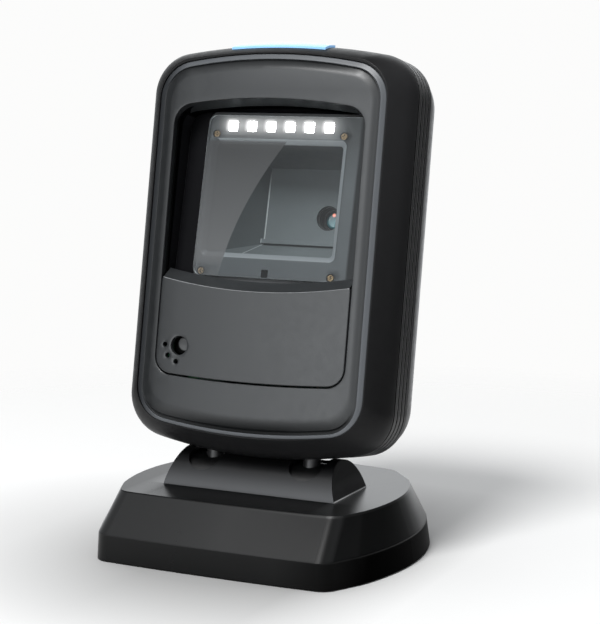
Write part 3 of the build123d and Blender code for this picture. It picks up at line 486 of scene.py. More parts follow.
def metal(name, rgb, rough, brush=(1.0, 1.0, 12.0)):
    """Brushed metal with dull spots. brush: stretch of the scratches along x, y, z."""
    m = Material(name)
    rounded = m.rounded(0.0001)
    lines = m.noise(900.0, detail=4.0, roughness=0.7, stretch=brush)
    color = m.brighten(rgb, m.remap(lines, NOISE_SPAN, (0.82, 1.1)))
    spots = m.remap(m.noise(300.0), (0.5, 0.75), (0.0, 0.35))
    uneven = m.remap(lines, NOISE_SPAN, (-0.08, 0.1))
    m.principled({
        "Base Color": m.mix(spots, color, tuple(c * 0.45 for c in rgb)),
        "Metallic": 1.0,
        "Roughness": m.math("ADD", uneven, rough, clamp=True),
        "Normal": m.bump(lines, 0.25, 0.00003, rounded)})


def circuit_board():
    """Green board with a fine brick pattern and pale specks."""
    m = Material("circuit_board")
    bricks = m.node("ShaderNodeTexBrick", {
        "Scale": 260.0, "Mortar Size": 0.03, "Vector": m.coord,
        "Color1": (0.012, 0.10, 0.045), "Color2": (0.010, 0.075, 0.035),
        "Mortar": (0.03, 0.17, 0.08)})
    specks = m.remap(m.noise(700.0, detail=2.0), (0.6, 0.72), (0.0, 0.6))
    m.principled({
        "Base Color": m.mix(specks, bricks.outputs["Color"], (0.35, 0.30, 0.12)),
        "Roughness": m.vary((0.25, 0.5), 900.0),
        "Normal": m.bump(bricks.outputs["Fac"], 0.3, 0.00003, m.rounded(0.0001))})


def lamp(name, rgb, strength, body=(0.9, 0.9, 0.9), throw=0.05, shine=0.01):
    """Lit lamp: full strength to the eye, the share throw as light, shine in mirrors."""
    m = Material(name)
    flicker = m.vary((0.9, 1.1), 2500.0, detail=2.0)
    rays = m.node("ShaderNodeLightPath").outputs
    share = m.add(m.mul(rays["Is Camera Ray"], 1.0 - throw), throw)
    share = m.sub(share, m.mul(rays["Is Glossy Ray"], throw - shine))
    m.principled({
        "Base Color": body,
        "Roughness": m.vary((0.3, 0.5), 4000.0),
        "Emission Color": rgb,
        "Emission Strength": m.mul(flicker, share, strength)})


# ------------------------------------------------------------------ shading by place (metres)
def shaded(mask, dark):
    """Painted shade: tone that falls to dark where the mask is low."""
    return lambda m, color: m.mix(mask(m), dark, color)


def chamber_tone(m, color):
    """Deeper shade towards the roof of the chamber, lighter towards its right end."""
    x, y, z = m.position()
    height = m.remap(z, (0.092, 0.120), (1.0, 0.07))
    across = m.remap(x, (-0.016, 0.022), (0.62, 1.25))
    black = m.node("ShaderNodeRGB").outputs[0]
    black.default_value = (0.012, 0.014, 0.015, 1)
    color = m.mix(m.math("MINIMUM", m.mul(height, across), 1.0), black, color)
    # the joint between the left wall and the rear wall catches the light
    off = m.math("ABSOLUTE", m.add(x, 0.0100))
    line = m.mul(m.remap(off, (0.00010, 0.00022), (1.0, 0.0)),
                 m.remap(z, (0.114, 0.108), (0.0, 0.8)))
    return m.mix(line, color, (0.62, 0.64, 0.64))


def base_painted_shade(m):
    """Painted shade: 1 on the bevel and the top of the base, low on the upright skirt and by the hinge.
    """
    x, y, z = m.position()
    up = m.remap(z, (0.0080, 0.0086), (0.43, 1.0))
    side = m.remap(x, (0.022, 0.0445), (0.0, 0.98))
    low = m.remap(z, (0.0078, 0.0088), (1.0, 0.0))
    right = m.sub(1.0, m.mul(side, low))
    flat = m.remap(z, (0.0190, 0.0193), (0.0, 1.0))
    lee = m.mul(m.remap(y, (-0.0262, -0.0118), (0.78, 0.98)),
                m.remap(m.math("ABSOLUTE", x), (0.027, 0.036), (1.0, 0.0)))
    front = m.remap(y, (-0.0115, -0.0105), (1.0, 0.0))
    shade = m.sub(1.0, m.mul(flat, lee, front))
    left_end = m.sub(1.0, m.mul(flat, m.remap(x, (-0.036, -0.026), (0.80, 0.0))))
    # round the right corners the bevel turns out of the light
    nx = m.normal()[0]
    turn = m.mul(m.remap(nx, (0.004, 0.05), (1.0, 0.34)),
                 m.remap(nx, (0.35, 0.70), (1.0, 2.3)),
                 m.remap(nx, (0.72, 0.86), (1.0, 0.55)))
    bevel = m.mul(m.remap(z, (0.0080, 0.0086), (0.0, 1.0)),
                  m.remap(z, (0.0186, 0.0190), (1.0, 0.0)))
    turn = m.sub(1.0, m.mul(bevel, m.sub(1.0, turn)))
    return m.mul(up, turn, right, m.mul(shade, left_end))


BASE_TOP_Z = max(v.co.z for v in NODES["base_shell"].data.vertices)


def cover_painted_shade(m):
    """Painted shade: falls off from low on the hinge cover to its crown under the head."""
    return m.remap(m.position()[2], (0.0200, 0.0264), (1.0, 0.09))


def cover_tone(m, color):
    """Painted shade on the dark right end, and a pale line along its foot as a painted highlight."""
    nx = m.normal()[0]
    end = m.remap(nx, (0.3, 0.7), (1.0, 0.18))
    color = m.mix(m.mul(cover_painted_shade(m), end), (0.0030, 0.0030, 0.0032), color)
    z = m.position()[2]
    foot = m.mul(m.remap(z, (BASE_TOP_Z + 0.00030, BASE_TOP_Z + 0.00045), (1.0, 0.0)),
                 m.remap(nx, (0.5, 0.8), (0.0, 1.0)))
    return m.mix(foot, color, (0.90, 0.91, 0.92))


# painted shade on the gloss as well
def cover_gloss(m):
    return m.math("MAXIMUM", cover_painted_shade(m), 0.3)


def face_painted_shade(m):
    """Painted shade: darker towards the left side, low on the face."""
    x, y, z = m.position()
    flank = m.mul(m.remap(x, (-0.0325, -0.0310), (0.60, 0.80)),
                  m.remap(x, (-0.0310, -0.0250), (1.0, 1.25)))
    return m.math("MAXIMUM", flank, m.remap(z, (0.040, 0.050), (1.0, 0.0)))


def face_shade_and_brow_highlight(m):
    """The painted shade of the mask on the gloss, reshaped along the brow into a painted highlight."""
    x, y, z = m.position()
    brow_highlight = m.mul(m.remap(z, (0.1400, 0.1462), (-0.14, 0.22)),
                 m.remap(z, (0.1365, 0.1400), (0.0, 1.0)))
    brow_highlight = m.add(1.0, m.mul(brow_highlight, m.remap(x, (-0.025, 0.004), (0.0, 1.0))))
    return m.mul(face_painted_shade(m), brow_highlight)


# painted shade: the lip darkens towards the left side
def rim_painted_shade(m):
    return m.remap(m.position()[0], (-0.0362, -0.0290), (0.32, 1.0))


def housing_tone(m, color):
    """Painted light and shade: right flank lighter towards the top, rear and underside even, left flank
    dark.
    """
    x, y, z = m.position()
    nx = m.normal()[0]
    flank = m.brighten((0.020, 0.020, 0.021), m.remap(z, (0.035, 0.135), (0.32, 1.5)))
    _, ny, nz = m.normal()
    rear = m.mul(m.remap(ny, (0.2, 0.8), (0.0, 1.0)), m.remap(y, (0.005, 0.015), (0.0, 1.0)))
    color = m.mix(rear, color, (0.016, 0.016, 0.0165))
    color = m.mix(m.remap(nx, (0.25, 0.85), (0.0, 1.0)), color, flank)
    color = m.mix(m.remap(nz, (-0.15, -0.6), (0.0, 1.0)), color, (0.020, 0.020, 0.021))
    left = m.remap(nx, (-0.9, -0.25), (0.12, 1.0))
    return m.mix(left, (0.0006, 0.0006, 0.0006), color)


def ribbed_tone(m, color):
    """Painted light: surfaces that face the rear take an even grey."""
    rear = m.remap(m.normal()[1], (0.45, 0.85), (0.0, 1.0))
    return m.mix(rear, color, (0.016, 0.016, 0.0165))


# painted shade: the gloss fades on the left flank
def housing_gloss(m):
    return m.remap(m.normal()[0], (-0.9, -0.25), (0.10, 1.0))


def panel_tone(m, color):
    """The right wing of the panel falls into shade at its top and outer edge."""
    x, y, z = m.position()
    top = m.mul(m.remap(z, (0.112, 0.124), (0.0, 0.85)),
                m.remap(x, (0.0205, 0.0225), (0.0, 1.0)))
    edge = m.remap(x, (0.0266, 0.0274), (0.0, 0.9))
    return m.mix(m.math("MAXIMUM", top, edge), color, (0.0015, 0.0015, 0.0017))


def panel_gloss(m):
    return m.remap(m.position()[0], (0.0266, 0.0274), (1.0, 0.05))


BUTTON_X, BUTTON_Z = -23.05e-3, 62.95e-3   # centre of the lit part of the button
BUTTON_RIM = (0.00195, 0.00225)            # radii between which it falls into shade


def button_distance(m):
    x, y, z = m.position()
    dx = m.math("POWER", m.sub(x, BUTTON_X), 2.0)
    dz = m.math("POWER", m.sub(z, BUTTON_Z), 2.0)
    return m.math("SQRT", m.add(dx, dz))


def button_tone(m, color):
    shade = m.remap(button_distance(m), BUTTON_RIM, (0.0, 0.98))
    return m.mix(shade, color, (0.0008, 0.0008, 0.0008))


def button_gloss(m):
    return m.remap(button_distance(m), BUTTON_RIM, (1.0, 0.03))


# ------------------------------------------------------------------ plastics, metals, lamps
plastic("face_plastic", (0.030, 0.0325, 0.0345), rough=0.36, spec=0.58, mottle=0.03, edge=0.7,
        bevel=0.00022, grain_depth=0.05, painted_shade=True,
        tone=shaded(face_painted_shade, (0.0010, 0.0010, 0.0011)), gloss=face_shade_and_brow_highlight)
# pale lip band of the bezel, partly its own lighter plastic and partly painted light; painted shade
# towards the left
plastic("rim_plastic", (0.098, 0.106, 0.116), rough=0.38, mottle=0.01, grain_depth=0.0,
        smudge=0.0, rough_var=0.0,
        tone=shaded(rim_painted_shade, (0.0008, 0.0008, 0.0009)), gloss=rim_painted_shade)
# pale crease line along the top edge of the lower cover: a painted highlight
plastic("crease_highlight_plastic", (0.30, 0.31, 0.32), rough=0.35, spec=0.6, mottle=0.03,
        grain_depth=0.03)
plastic("housing_plastic", (0.0060, 0.0060, 0.0064), rough=0.40, spec=0.18, mottle=0.05,
        edge=1.0, bevel=0.00025, smudge=0.02, grain_depth=0.05,
        tone=housing_tone, gloss=housing_gloss)
plastic("ribbed_plastic", (0.0060, 0.0060, 0.0064), rough=0.34, spec=0.30, mottle=0.05,
        edge=1.0, bevel=0.00032, smudge=0.02, grain_depth=0.04, wear_and_highlight_add=0.26,
        tone=ribbed_tone, gloss=housing_gloss)
plastic("base_plastic", (0.0112, 0.0115, 0.0118), rough=0.28, mottle=0.02, edge=0.3,
        grain_depth=0.008, smudge=0.004, rough_var=0.004,
        tone=shaded(base_painted_shade, (0.0006, 0.0006, 0.0006)), gloss=base_painted_shade)
plastic("hinge_cover_plastic", (0.085, 0.088, 0.093), rough=0.34, mottle=0.03, edge=0.35,
        grain_depth=0.04, smudge=0.015, rough_var=0.02, tone=cover_tone, gloss=cover_gloss)
plastic("dark_plastic", (0.012, 0.012, 0.0125), rough=0.5, spec=0.35)
plastic("drum_plastic", (0.012, 0.012, 0.0125), spec=0.4)
plastic("post_plastic", (0.05, 0.05, 0.052), rough=0.36)
plastic("surround_plastic", (0.0008, 0.0008, 0.0009), rough=0.5, spec=0.03, edge=0.1)
# lighter foot of the left wall of the well: painted light
plastic("well_foot_lit_plastic", (0.012, 0.012, 0.014), rough=0.5, spec=0.10, edge=0.1,
        grain_depth=0.02)
# dark ledge plate round the inner panel: painted shadow of the well's left wall
plastic("ledge_shadow_plastic", (0.0038, 0.0038, 0.0046), spec=0.055, edge=0.1, grain_depth=0.03)
plastic("panel_plastic", (0.050, 0.054, 0.058), spec=0.45, mottle=0.04, painted_shade=True,
        grain_depth=0.02, tone=panel_tone, gloss=panel_gloss)
# pale right and lower slopes of the reading window frame: painted light
plastic("panel_bevel_lit_plastic", (0.24, 0.25, 0.26), rough=0.36, spec=0.6, mottle=0.04,
        grain_depth=0.03)
plastic("chamber_plastic", (0.15, 0.165, 0.17), rough=0.55, spec=0.3, mottle=0.05,
        grain_depth=0.0, tone=chamber_tone)
plastic("button_plastic", (0.075, 0.078, 0.080), rough=0.35, grain_depth=0.04,
        tone=button_tone, gloss=button_gloss)
plastic("chip_black", (0.012, 0.012, 0.012), rough=0.55, spec=0.4, grain=9000.0,
        grain_depth=0.2)
plastic("rubber", (0.010, 0.010, 0.010), rough=0.75, spec=0.3, grain=1800.0,
        grain_depth=0.35, mottle=0.12)
metal("zinc_steel", (0.60, 0.61, 0.64), rough=0.34)
metal("bright_steel", (0.66, 0.66, 0.68), rough=0.22, brush=(12.0, 1.0, 1.0))
metal("ballast_steel", (0.32, 0.32, 0.33), rough=0.48, brush=(1.0, 8.0, 1.0))
metal("brass", (0.20, 0.135, 0.072), rough=0.42, brush=(3.0, 3.0, 3.0))
circuit_board()
lamp("lamp_white", (1.0, 0.99, 0.97), strength=20.0, throw=0.03)
lamp("lamp_red", (1.0, 0.10, 0.05), strength=3.0, body=(0.8, 0.1, 0.08))
lamp("lamp_blue", (0.35, 0.65, 1.0), strength=6.0, body=(0.4, 0.6, 0.9))


def light_bar():
    """Blue glowing bar, brightest in the middle, paler on its edges."""
    m = Material("light_bar_plastic")
    rounded = m.rounded(0.0003)
    off_centre = m.math("ABSOLUTE", m.position()[0])
    spread = m.remap(off_centre, (0.006, 0.016), (1.0, 0.72))
    glow = m.mul(spread, m.vary((0.95, 1.05), 300.0))
    m.principled({
        "Base Color": m.mix(m.edge_mask(rounded), (0.20, 0.47, 0.78), (0.55, 0.78, 0.95)),
        "Roughness": m.vary((0.18, 0.32), 800.0),
        "Emission Color": (0.33, 0.58, 0.95),
        "Emission Strength": m.mul(glow, 0.62),
        "Normal": rounded})


light_bar()


# ------------------------------------------------------------------ sight lines
def mirrored(x, v):
    """Direction in which the eye looks after the glass turns its sight line at (x, v)."""
    normal = Vector(PANEL_NORMAL)
    sight = (panel_point(x, v, GLASS_FRONT) - CAMERA_AT).normalized()
    return (sight - 2 * sight.dot(normal) * normal).normalized()


RED_SIGHT = (0.01863320, 0.05253151, -1.0)   # sight line to the red spot: right, up, back


def red_spot():
    """Where the sight line meets the front plane of the aimer lens."""
    normal = Vector(PANEL_NORMAL)
    foot = panel_point(0, 0, 0)
    front = max((v.co - foot).dot(normal) for v in NODES["aimer_lens"].data.vertices) * 1000
    sight = Euler(CAMERA_TURN).to_matrix() @ Vector(RED_SIGHT)
    reach = (panel_point(0, 0, front) - CAMERA_AT).dot(normal) / sight.dot(normal)
    return CAMERA_AT + reach * sight


# a bright card thought to stand in front of the scanner, only painted into the glass as a reflection; (x,
# v) on the panel
CARD_EDGE_TOP, CARD_EDGE_FOOT, CARD_MIDDLE = (5.3, 43.5), (-15.3, -0.6), (-20.0, 25.0)
CARD_SIDE = mirrored(*CARD_EDGE_TOP).cross(mirrored(*CARD_EDGE_FOOT)).normalized()
CARD_DIR = mirrored(*CARD_MIDDLE)
if CARD_SIDE.dot(CARD_DIR) < 0:        # the side vector points into the card
    CARD_SIDE = -CARD_SIDE


# ------------------------------------------------------------------ glass
GLARE_V = LAMP_ROW_V + 0.2
GLARE_FALL = [(0.0, 1.0), (0.16, 0.72), (0.3, 0.34), (0.5, 0.10), (0.75, 0.02), (1.0, 0.0)]
GLARE_REACH = 9.0                      # mm from the row at which the glare has died out
ROW_CORE_X = 17.0                      # half length of the evenly glaring row
ROW_END_X = 19.6                       # no lamp cores beyond this


def lamp_glare(m, x, z, v):
    """Soft glare round the whole lamp row plus a squarish core in front of each lamp."""
    rise = m.math("ABSOLUTE", m.sub(v, GLARE_V))
    across = m.math("ABSOLUTE", m.mul(x, 1000.0))
    beyond = m.math("MAXIMUM", m.sub(across, ROW_CORE_X), 0.0)
    distance = m.math("SQRT", m.add(m.mul(beyond, beyond), m.mul(rise, rise)))
    halo = m.curve(m.math("DIVIDE", distance, GLARE_REACH, clamp=True), GLARE_FALL)
    wave = m.math("PINGPONG", m.add(m.mul(x, 1000.0), LAMP_PITCH * 10), LAMP_PITCH / 2)
    off = m.math("ABSOLUTE", m.sub(wave, LAMP_PITCH / 2))
    fourth = m.add(m.math("POWER", off, 4.0), m.math("POWER", rise, 4.0))
    core_distance = m.math("POWER", fourth, 0.25)
    in_row = m.math("LESS_THAN", across, ROW_END_X)
    core = m.mul(m.remap(core_distance, (0.8, 2.3), (1.0, 0.0)), in_row)
    glare = m.add(m.mul(halo, 0.21), m.mul(m.math("POWER", core, 1.4), 0.62))
    return m.mul(glare, m.math("GREATER_THAN", z, 0.1))


def card_mask(m, reflection, v):
    """Where the painted reflection of the card lies on the glass; its slightly bowed edge runs as a
    diagonal.
    """
    bow = m.math("DIVIDE", v, CARD_EDGE_TOP[1], clamp=True)
    bow = m.mul(bow, m.sub(1.0, bow), 0.018)
    side = m.remap(m.sub(m.dot(reflection, CARD_SIDE), bow), (-0.0002, 0.0002), (0.0, 1.0))
    near = m.remap(m.dot(reflection, CARD_DIR), (0.80, 0.95), (0.0, 1.0))
    toward = m.dot(m.get("Normal", "ShaderNodeNewGeometry"), PANEL_NORMAL)
    facing = m.math("GREATER_THAN", toward, 0.9)
    ends = m.mul(m.remap(v, (41.0, 40.4), (0.0, 1.0)), m.remap(v, (1.8, 4.4), (0.30, 1.0)))
    return m.mul(side, near, m.mul(facing, ends))


def window_glass():
    """Thin clear sheet with a film of dust; the mirror image of the studio and of a card, and the glare
    by the lamps, are painted on as emission.
    """
    m = Material("window_glass")
    clear_tint, card_tint = (0.93, 0.95, 0.955), (0.34, 0.345, 0.35)
    x, y, z = m.position()
    v = m.math("DIVIDE", m.sub(m.mul(z, 1000.0), PANEL_Z), PANEL_COS)
    glare = m.get(0, "ShaderNodeEmission", {
        "Color": (1.0, 0.995, 0.985), "Strength": lamp_glare(m, x, z, v)})
    clear = m.node("ShaderNodeBsdfTransparent", {"Color": clear_tint})
    dust = m.get(0, "ShaderNodeBsdfDiffuse", {"Color": (0.6, 0.6, 0.6)})
    dust_share = m.remap(m.noise(400.0, detail=2.0), (0.62, 0.8), (0.0, 0.003))
    sheet = m.mix_shader(dust_share, clear.outputs[0], dust)

    reflection = m.get("Reflection", "ShaderNodeTexCoord")
    card = card_mask(m, reflection, v)
    card_strength = m.remap(v, (40.0, 8.0), (0.048, 0.100))
    mirror_x, mirror_y, _ = m.xyz(reflection)
    fresnel = m.get(0, "ShaderNodeFresnel", {"IOR": 1.5})
    # painted reflection of the studio, scaled by the Fresnel factor
    room = m.mul(m.studio(mirror_x, mirror_y), STUDIO_TOP * 0.22, fresnel)
    smears = m.noise(120.0, detail=4.0, roughness=0.7)
    room = m.mul(room, m.remap(smears, (0.4, 0.7), (1.0, 0.92)))
    painted_reflection = m.get(0, "ShaderNodeEmission", {
        "Color": (0.93, 0.97, 1.0), "Strength": m.add(m.mul(card, card_strength), room)})
    # behind the painted card reflection less is seen through the glass
    m.feed(clear.inputs["Color"], m.mix(card, clear_tint, card_tint))
    seen = m.add_shader(m.add_shader(sheet, painted_reflection), glare)
    # no glare or mirror image for indirect rays
    m.surface(m.mix_shader(m.ray("Is Camera Ray"), sheet, seen))


def glass_edge():
    """Frosted rim of the glass, pale also as a painted highlight along its edge."""
    m = Material("window_glass_edge")
    m.principled({
        "Base Color": m.brighten((0.42, 0.45, 0.46), m.vary((0.8, 1.2), 700.0)),
        "Roughness": m.vary((0.2, 0.45), 1500.0),
        "Specular IOR Level": 0.6})


def lens_glass():
    """Teal lens with a small red glow."""
    m = Material("lens_glass")
    facing = m.get("Facing", "ShaderNodeLayerWeight", {"Blend": 0.35})
    color = m.mix(facing, (0.055, 0.20, 0.22), (0.02, 0.08, 0.14))
    distance = m.get("Value", "ShaderNodeVectorMath", {0: m.coord, 1: red_spot()},
                     operation="DISTANCE")
    spot = m.remap(distance, (0.00035, 0.00072), (1.0, 0.0))
    clouds = m.remap(m.noise(900.0), (0.4, 0.7), (0.0, 0.3))
    m.principled({
        "Base Color": m.mix(clouds, color, (0.10, 0.25, 0.27)),
        "Emission Color": (1.0, 0.30, 0.20),
        "Emission Strength": m.mul(spot, 1.1),
        "Roughness": m.vary((0.04, 0.12), 500.0),
        "Specular IOR Level": 0.7,
        "Coat Weight": 0.5})


window_glass()
glass_edge()
lens_glass()

# ------------------------------------------------------------------ materials of the CAD pieces
# slots share their names with materials; these pieces differ from their slot
PIECE_MATERIAL = {"hinge_cover": "hinge_cover_plastic", "presence_sensor": "surround_plastic",
                  "rear_cover": "ribbed_plastic"}
slot_of = {part["node"]: part.get("material_slot") for part in frame["record"]["subparts"]}
for name, ob in NODES.items():
    wanted = PIECE_MATERIAL.get(name, slot_of.get(name))
    ob.data.materials.clear()
    ob.data.materials.append(MATERIALS.get(wanted, MATERIALS["dark_plastic"]))


# ------------------------------------------------------------------ front bezel
DOME = 0.85                            # how far the face falls back at DOME_X
DOME_X = 32.0


def dome(x, share=1.0):
    return share * DOME * min(1.4, abs(x) / DOME_X) ** 2.3


RIM_HALF, RIM_BOTTOM, RIM_TOP = 38.0, 15.0, 130.3
RIM_BOTTOM_BOW, RIM_TOP_BOW = 185, 162
# from the back edge over the lip into the groove:
# inset and n on the sides and top, inset and n on the lower edge
RIM_PROFILE = [
    (0.0, 2.6, 0.0, 2.6), (0.0, 1.08, 0.0, 0.62), (0.05, 0.85, 0.04, 0.46),
    (0.2, 0.68, 0.10, 0.38), (0.42, 0.60, 0.22, 0.33), (1.0, 0.34, 0.60, 0.24),
    (1.55, 0.08, 0.92, 0.16), (1.70, 0.05, 1.00, 0.15), (1.80, 0.12, 1.05, 0.20),
    (1.86, 0.35, 1.09, 0.45), (1.92, 0.62, 1.13, 0.80), (2.12, 0.66, 1.60, 0.84),
    (2.26, 0.50, 2.0, 0.70), (2.34, 0.15, 2.34, 0.15)]
LIP_ROWS = len(RIM_PROFILE) - 5        # rows in the rim material, before the groove
GROOVE_INSETS = (1.83, 2.33)
ROLL_INSET, ROLL_N = 2.34, 0.15        # foot of the roll, where the profile ends
ROLL_STEPS = 12
OPEN_HALF, OPEN_BOTTOM, OPEN_TOP = 31.95, 30.62, 116.45
# edge of the opening: growth of the outline, n, openness to light for painted shade
OPENING_EDGE = [(0.34, SKIN, 1), (0.20, -1.27, 1), (0.08, -1.17, 1), (0.02, -1.03, 1),
                (0.0, -0.8, 0.95)]


def rim_outline(side_inset, bottom_inset, top_inset, bottom_corner, top_corner):
    return outline(RIM_HALF - side_inset, RIM_BOTTOM + bottom_inset, RIM_TOP - top_inset,
                   RIM_BOTTOM_BOW, RIM_TOP_BOW, bottom_corner, top_corner)


def rim_place(inset, n, lower_n):
    def place(x, u):
        depth = n
        if GROOVE_INSETS[0] < inset < GROOVE_INSETS[1]:
            # the groove at the foot of the roll is shallow down the sides
            ends = clamp((24.0 - u) / 8.0) + clamp((u - 119.0) / 6.0)
            depth = 0.12 + (n - 0.12) * (0.15 + 0.85 * ends)
        depth += (lower_n - depth) * smooth((26.0 - u) / 7.0)
        return face_point(x, u, depth)
    return place


def groove_shade(points, s):
    """Openness of each point at share s up the roll, for painted shade: tightest at its foot, below most.
    """
    shades = []
    for x, u in points:
        down = clamp((24.0 - u) / 8.0)
        up = clamp((u - 120.0) / 6.0)
        side = 0.97 - 0.47 * clamp((x - 20.0) / 12.0)
        foot = side + (0.10 - side) * down + (0.30 - side) * up * (1 - down)
        shades.append(foot + (1 - foot) * s ** (0.9 + 0.7 * down))
    return shades


def domed(n, share=1.0):
    return lambda x, u: face_point(x, u, n + dome(x, share))


def opening_back(x, u):
    """Back edge of the opening: its top end drops and runs deeper."""
    t = smooth((u - 110.0) / 5.0)
    return face_point(x, u - 1.35 * t, 2.6 + 2.5 * t)


def bezel():
    g = Mesh()
    rings = []
    for row, (inset, n, lower_inset, lower_n) in enumerate(RIM_PROFILE):
        corner = 11.5 - inset * 0.9
        flat = rim_outline(inset, lower_inset, inset, corner, corner)
        shade = 1.0 if row < LIP_ROWS else groove_shade(flat, 0.0)
        rings.append(g.ring(flat, rim_place(inset, n, lower_n), shade))
    for i in range(1, ROLL_STEPS + 1):
        s = i / ROLL_STEPS
        n = ROLL_N - (ROLL_N - SKIN) * math.sin(math.pi * s / 2)
        flat = rim_outline(ROLL_INSET + 2.3 * s, ROLL_INSET + 4.0 * s, ROLL_INSET + 2.9 * s,
                           9.4 - 1.6 * s, 9.4 - 1.8 * s)
        rings.append(g.ring(flat, domed(n, 1 - (1 - s) ** 2), groove_shade(flat, s)))
    g.tube(rings, lambda level, i, point: 1 if level < LIP_ROWS else 0)

    opening = []
    for grow, n, shade in OPENING_EDGE:
        flat = outline(OPEN_HALF + grow, OPEN_BOTTOM - grow, OPEN_TOP + grow, 400, 190,
                       5.95 + grow, 6.2 + grow)
        opening.append(g.ring(flat, domed(n), shade))
    opening.append(g.ring(opening[-1][0], opening_back, 0.8))
    g.tube(opening)
    g.fill(rings[-1], [opening[0]], 1.15, domed(SKIN))
    g.fill(rings[0], [opening[-1]], 3.0, on_face(2.6))
    g.make("bezel_face", ["face_plastic", "rim_plastic"], "front_bezel")


bezel()

# ------------------------------------------------------------------ lower cover
COVER_HALF, COVER_BOTTOM, COVER_TOP = 31.7, 31.1, 58.3
COVER_TOP_BOW = -171                   # the top edge dips in the middle
COVER_BACK = 0.85                      # n of the flat back
# inset, n from the back round the front edge
COVER_EDGE = [(0.0, COVER_BACK), (0.0, -0.95), (0.03, -1.12), (0.10, -1.23),
              (0.2, -1.285), (0.34, SKIN)]
# x, u, radius, segments: the button hole and three small ones
COVER_HOLES = [(-23.7, 40.6, 2.9, 48), (-28.7, 40.65, 0.78, 20), (-27.5, 37.4, 0.78, 20),
               (-24.4, 35.7, 0.78, 20)]
# growth of the radius, n, openness
HOLE_EDGE = [(0.14, SKIN, 1.0), (0.04, -1.26, 1.0), (0.0, -1.15, 1.0), (0.0, COVER_BACK, 1.0)]
# sill section: rise above the top edge of the cover, depth behind the skin
SILL = [(-0.07, 0.07), (0.0, 0.16), (0.10, 0.30), (1.1, 1.7), (2.2, 3.2), (3.0, 4.25),
        (3.12, 4.5), (3.05, 4.75), (2.6, 4.8), (-0.3, 1.6), (-0.5, 0.6)]
SILL_HALF, SILL_STEPS = 31.35, 80


def on_cover(n):
    """The front is domed, the back is flat."""
    return domed(n) if n < 0 else on_face(n)


def sill_place(x):
    radius = -bow_radius(COVER_HALF, COVER_TOP_BOW)
    edge = COVER_TOP + radius - math.sqrt(radius * radius - x * x)
    fall = dome(x)
    return lambda rise, depth: face_point(x, edge + rise,
                                          SKIN + fall + depth * (1.0 - 0.12 * fall))


def lower_cover():
    g = Mesh()
    rings = []
    for inset, n in COVER_EDGE:
        flat = outline(COVER_HALF - inset, COVER_BOTTOM + inset, COVER_TOP - inset,
                       400, COVER_TOP_BOW, 5.5 - inset, max(0.25, 0.7 - inset),
                       end_steps=34, corner_steps=10, side_steps=24)
        rings.append(g.ring(flat, on_cover(n)))
    g.tube(rings)
    holes = [g.hole(lambda grow: circle(x, u, radius + grow, count), HOLE_EDGE, on_cover)
             for x, u, radius, count in COVER_HOLES]
    g.fill(rings[-1], [front for front, _ in holes], 0.9, domed(SKIN))
    g.fill(rings[0], [back for _, back in holes], 3.0, on_face(COVER_BACK))

    # sill that slopes up and back from the top edge, its first two strips in a pale plastic as a painted
    # highlight line
    columns = [g.ring(SILL, sill_place(-SILL_HALF + 2 * SILL_HALF * i / SILL_STEPS))
               for i in range(SILL_STEPS + 1)]
    g.tube(columns, lambda level, i, point: 1 if i < 2 else 0)
    g.cap(columns[0])
    g.cap(columns[-1], flip=True)
    g.make("lower_cover_plate", ["face_plastic", "crease_highlight_plastic"],
           "lower_cover", sharp=40)


lower_cover()


# ------------------------------------------------------------------ window surround
def behind_panel(offset):
    return lambda x, u: face_point(x, u, panel_depth(u) + offset)


def well_slope(x, u):
    return face_point(x, u, 3.3 + (panel_depth(u) - 7.2) * 0.5)


# from the back over the front lip and down the well: half width, bottom, top, place, top corner
WELL = [
    (31.90, 58.7, 116.35, on_face(14.0), 6.1),
    (31.90, 58.7, 116.35, on_face(1.70), 6.1),
    (31.62, 58.9, 116.10, on_face(1.62), 5.9),
    (31.48, 59.1, 115.95, on_face(1.72), 5.8),
    (31.47, 59.1, 115.6, well_slope, 5.8),
    (31.45, 59.1, 115.3, behind_panel(0.9), 5.8),
    (30.9, 59.6, 115.0, behind_panel(0.9), 4.6),
    (30.9, 59.6, 115.0, behind_panel(0.15), 4.6),
    (30.75, 59.7, 114.9, behind_panel(0.02), 4.5)]
WELL_FOOT_LEVEL = 4


def well_material(level, i, point):
    """Painted light: the left side of the well's foot takes a lighter plastic."""
    return 2 if level >= WELL_FOOT_LEVEL and point[0] < -22.0 and point[1] < 112.0 else 0


def window_well():
    """Black well down to a ledge plate, dark as painted shadow, which is cut out for the inner panel."""
    g = Mesh()
    rings = [g.ring(outline(half, bottom, top, 171, 190, 0.9, corner), place)
             for half, bottom, top, place, corner in WELL]
    g.tube(rings, well_material)
    seat = rounded_rect(-24.45, 30.55, 60.6, 113.75, 2.6)
    seat_front = g.ring(seat, behind_panel(0.0))
    seat_back = g.ring(seat, behind_panel(1.6))
    g.tube([seat_front, seat_back])
    g.fill(rings[-1], [seat_front], 2.0, behind_panel(0.0), mat=1)
    g.fill(rings[0], [seat_back], 4.0, on_face(14.0))
    g.make("window_well", ["surround_plastic", "ledge_shadow_plastic", "well_foot_lit_plastic"],
           "window_surround")


window_well()


# ------------------------------------------------------------------ cover glass
def plate_outline(left, right, foot, top, inset):
    return rounded_rect(left + inset, right - inset, foot + inset, top - inset,
                        2.5 - inset * 0.5, 10)


def cover_glass():
    """Flat sheet with a frosted, bevelled rim."""
    g = Mesh()
    rings = [g.ring(plate_outline(-24.3, 30.5, -1.4, 48.6, inset), on_panel(d))
             for inset, d in ((0.12, 0.02), (0.0, 0.14), (0.0, 0.76), (0.14, GLASS_FRONT))]
    g.tube(rings, lambda level, i, point: 1)
    g.cap(rings[-1])
    g.cap(rings[0], flip=True)
    g.make("cover_glass", ["window_glass", "window_glass_edge"],
           "window_glass", sharp=30)


cover_glass()

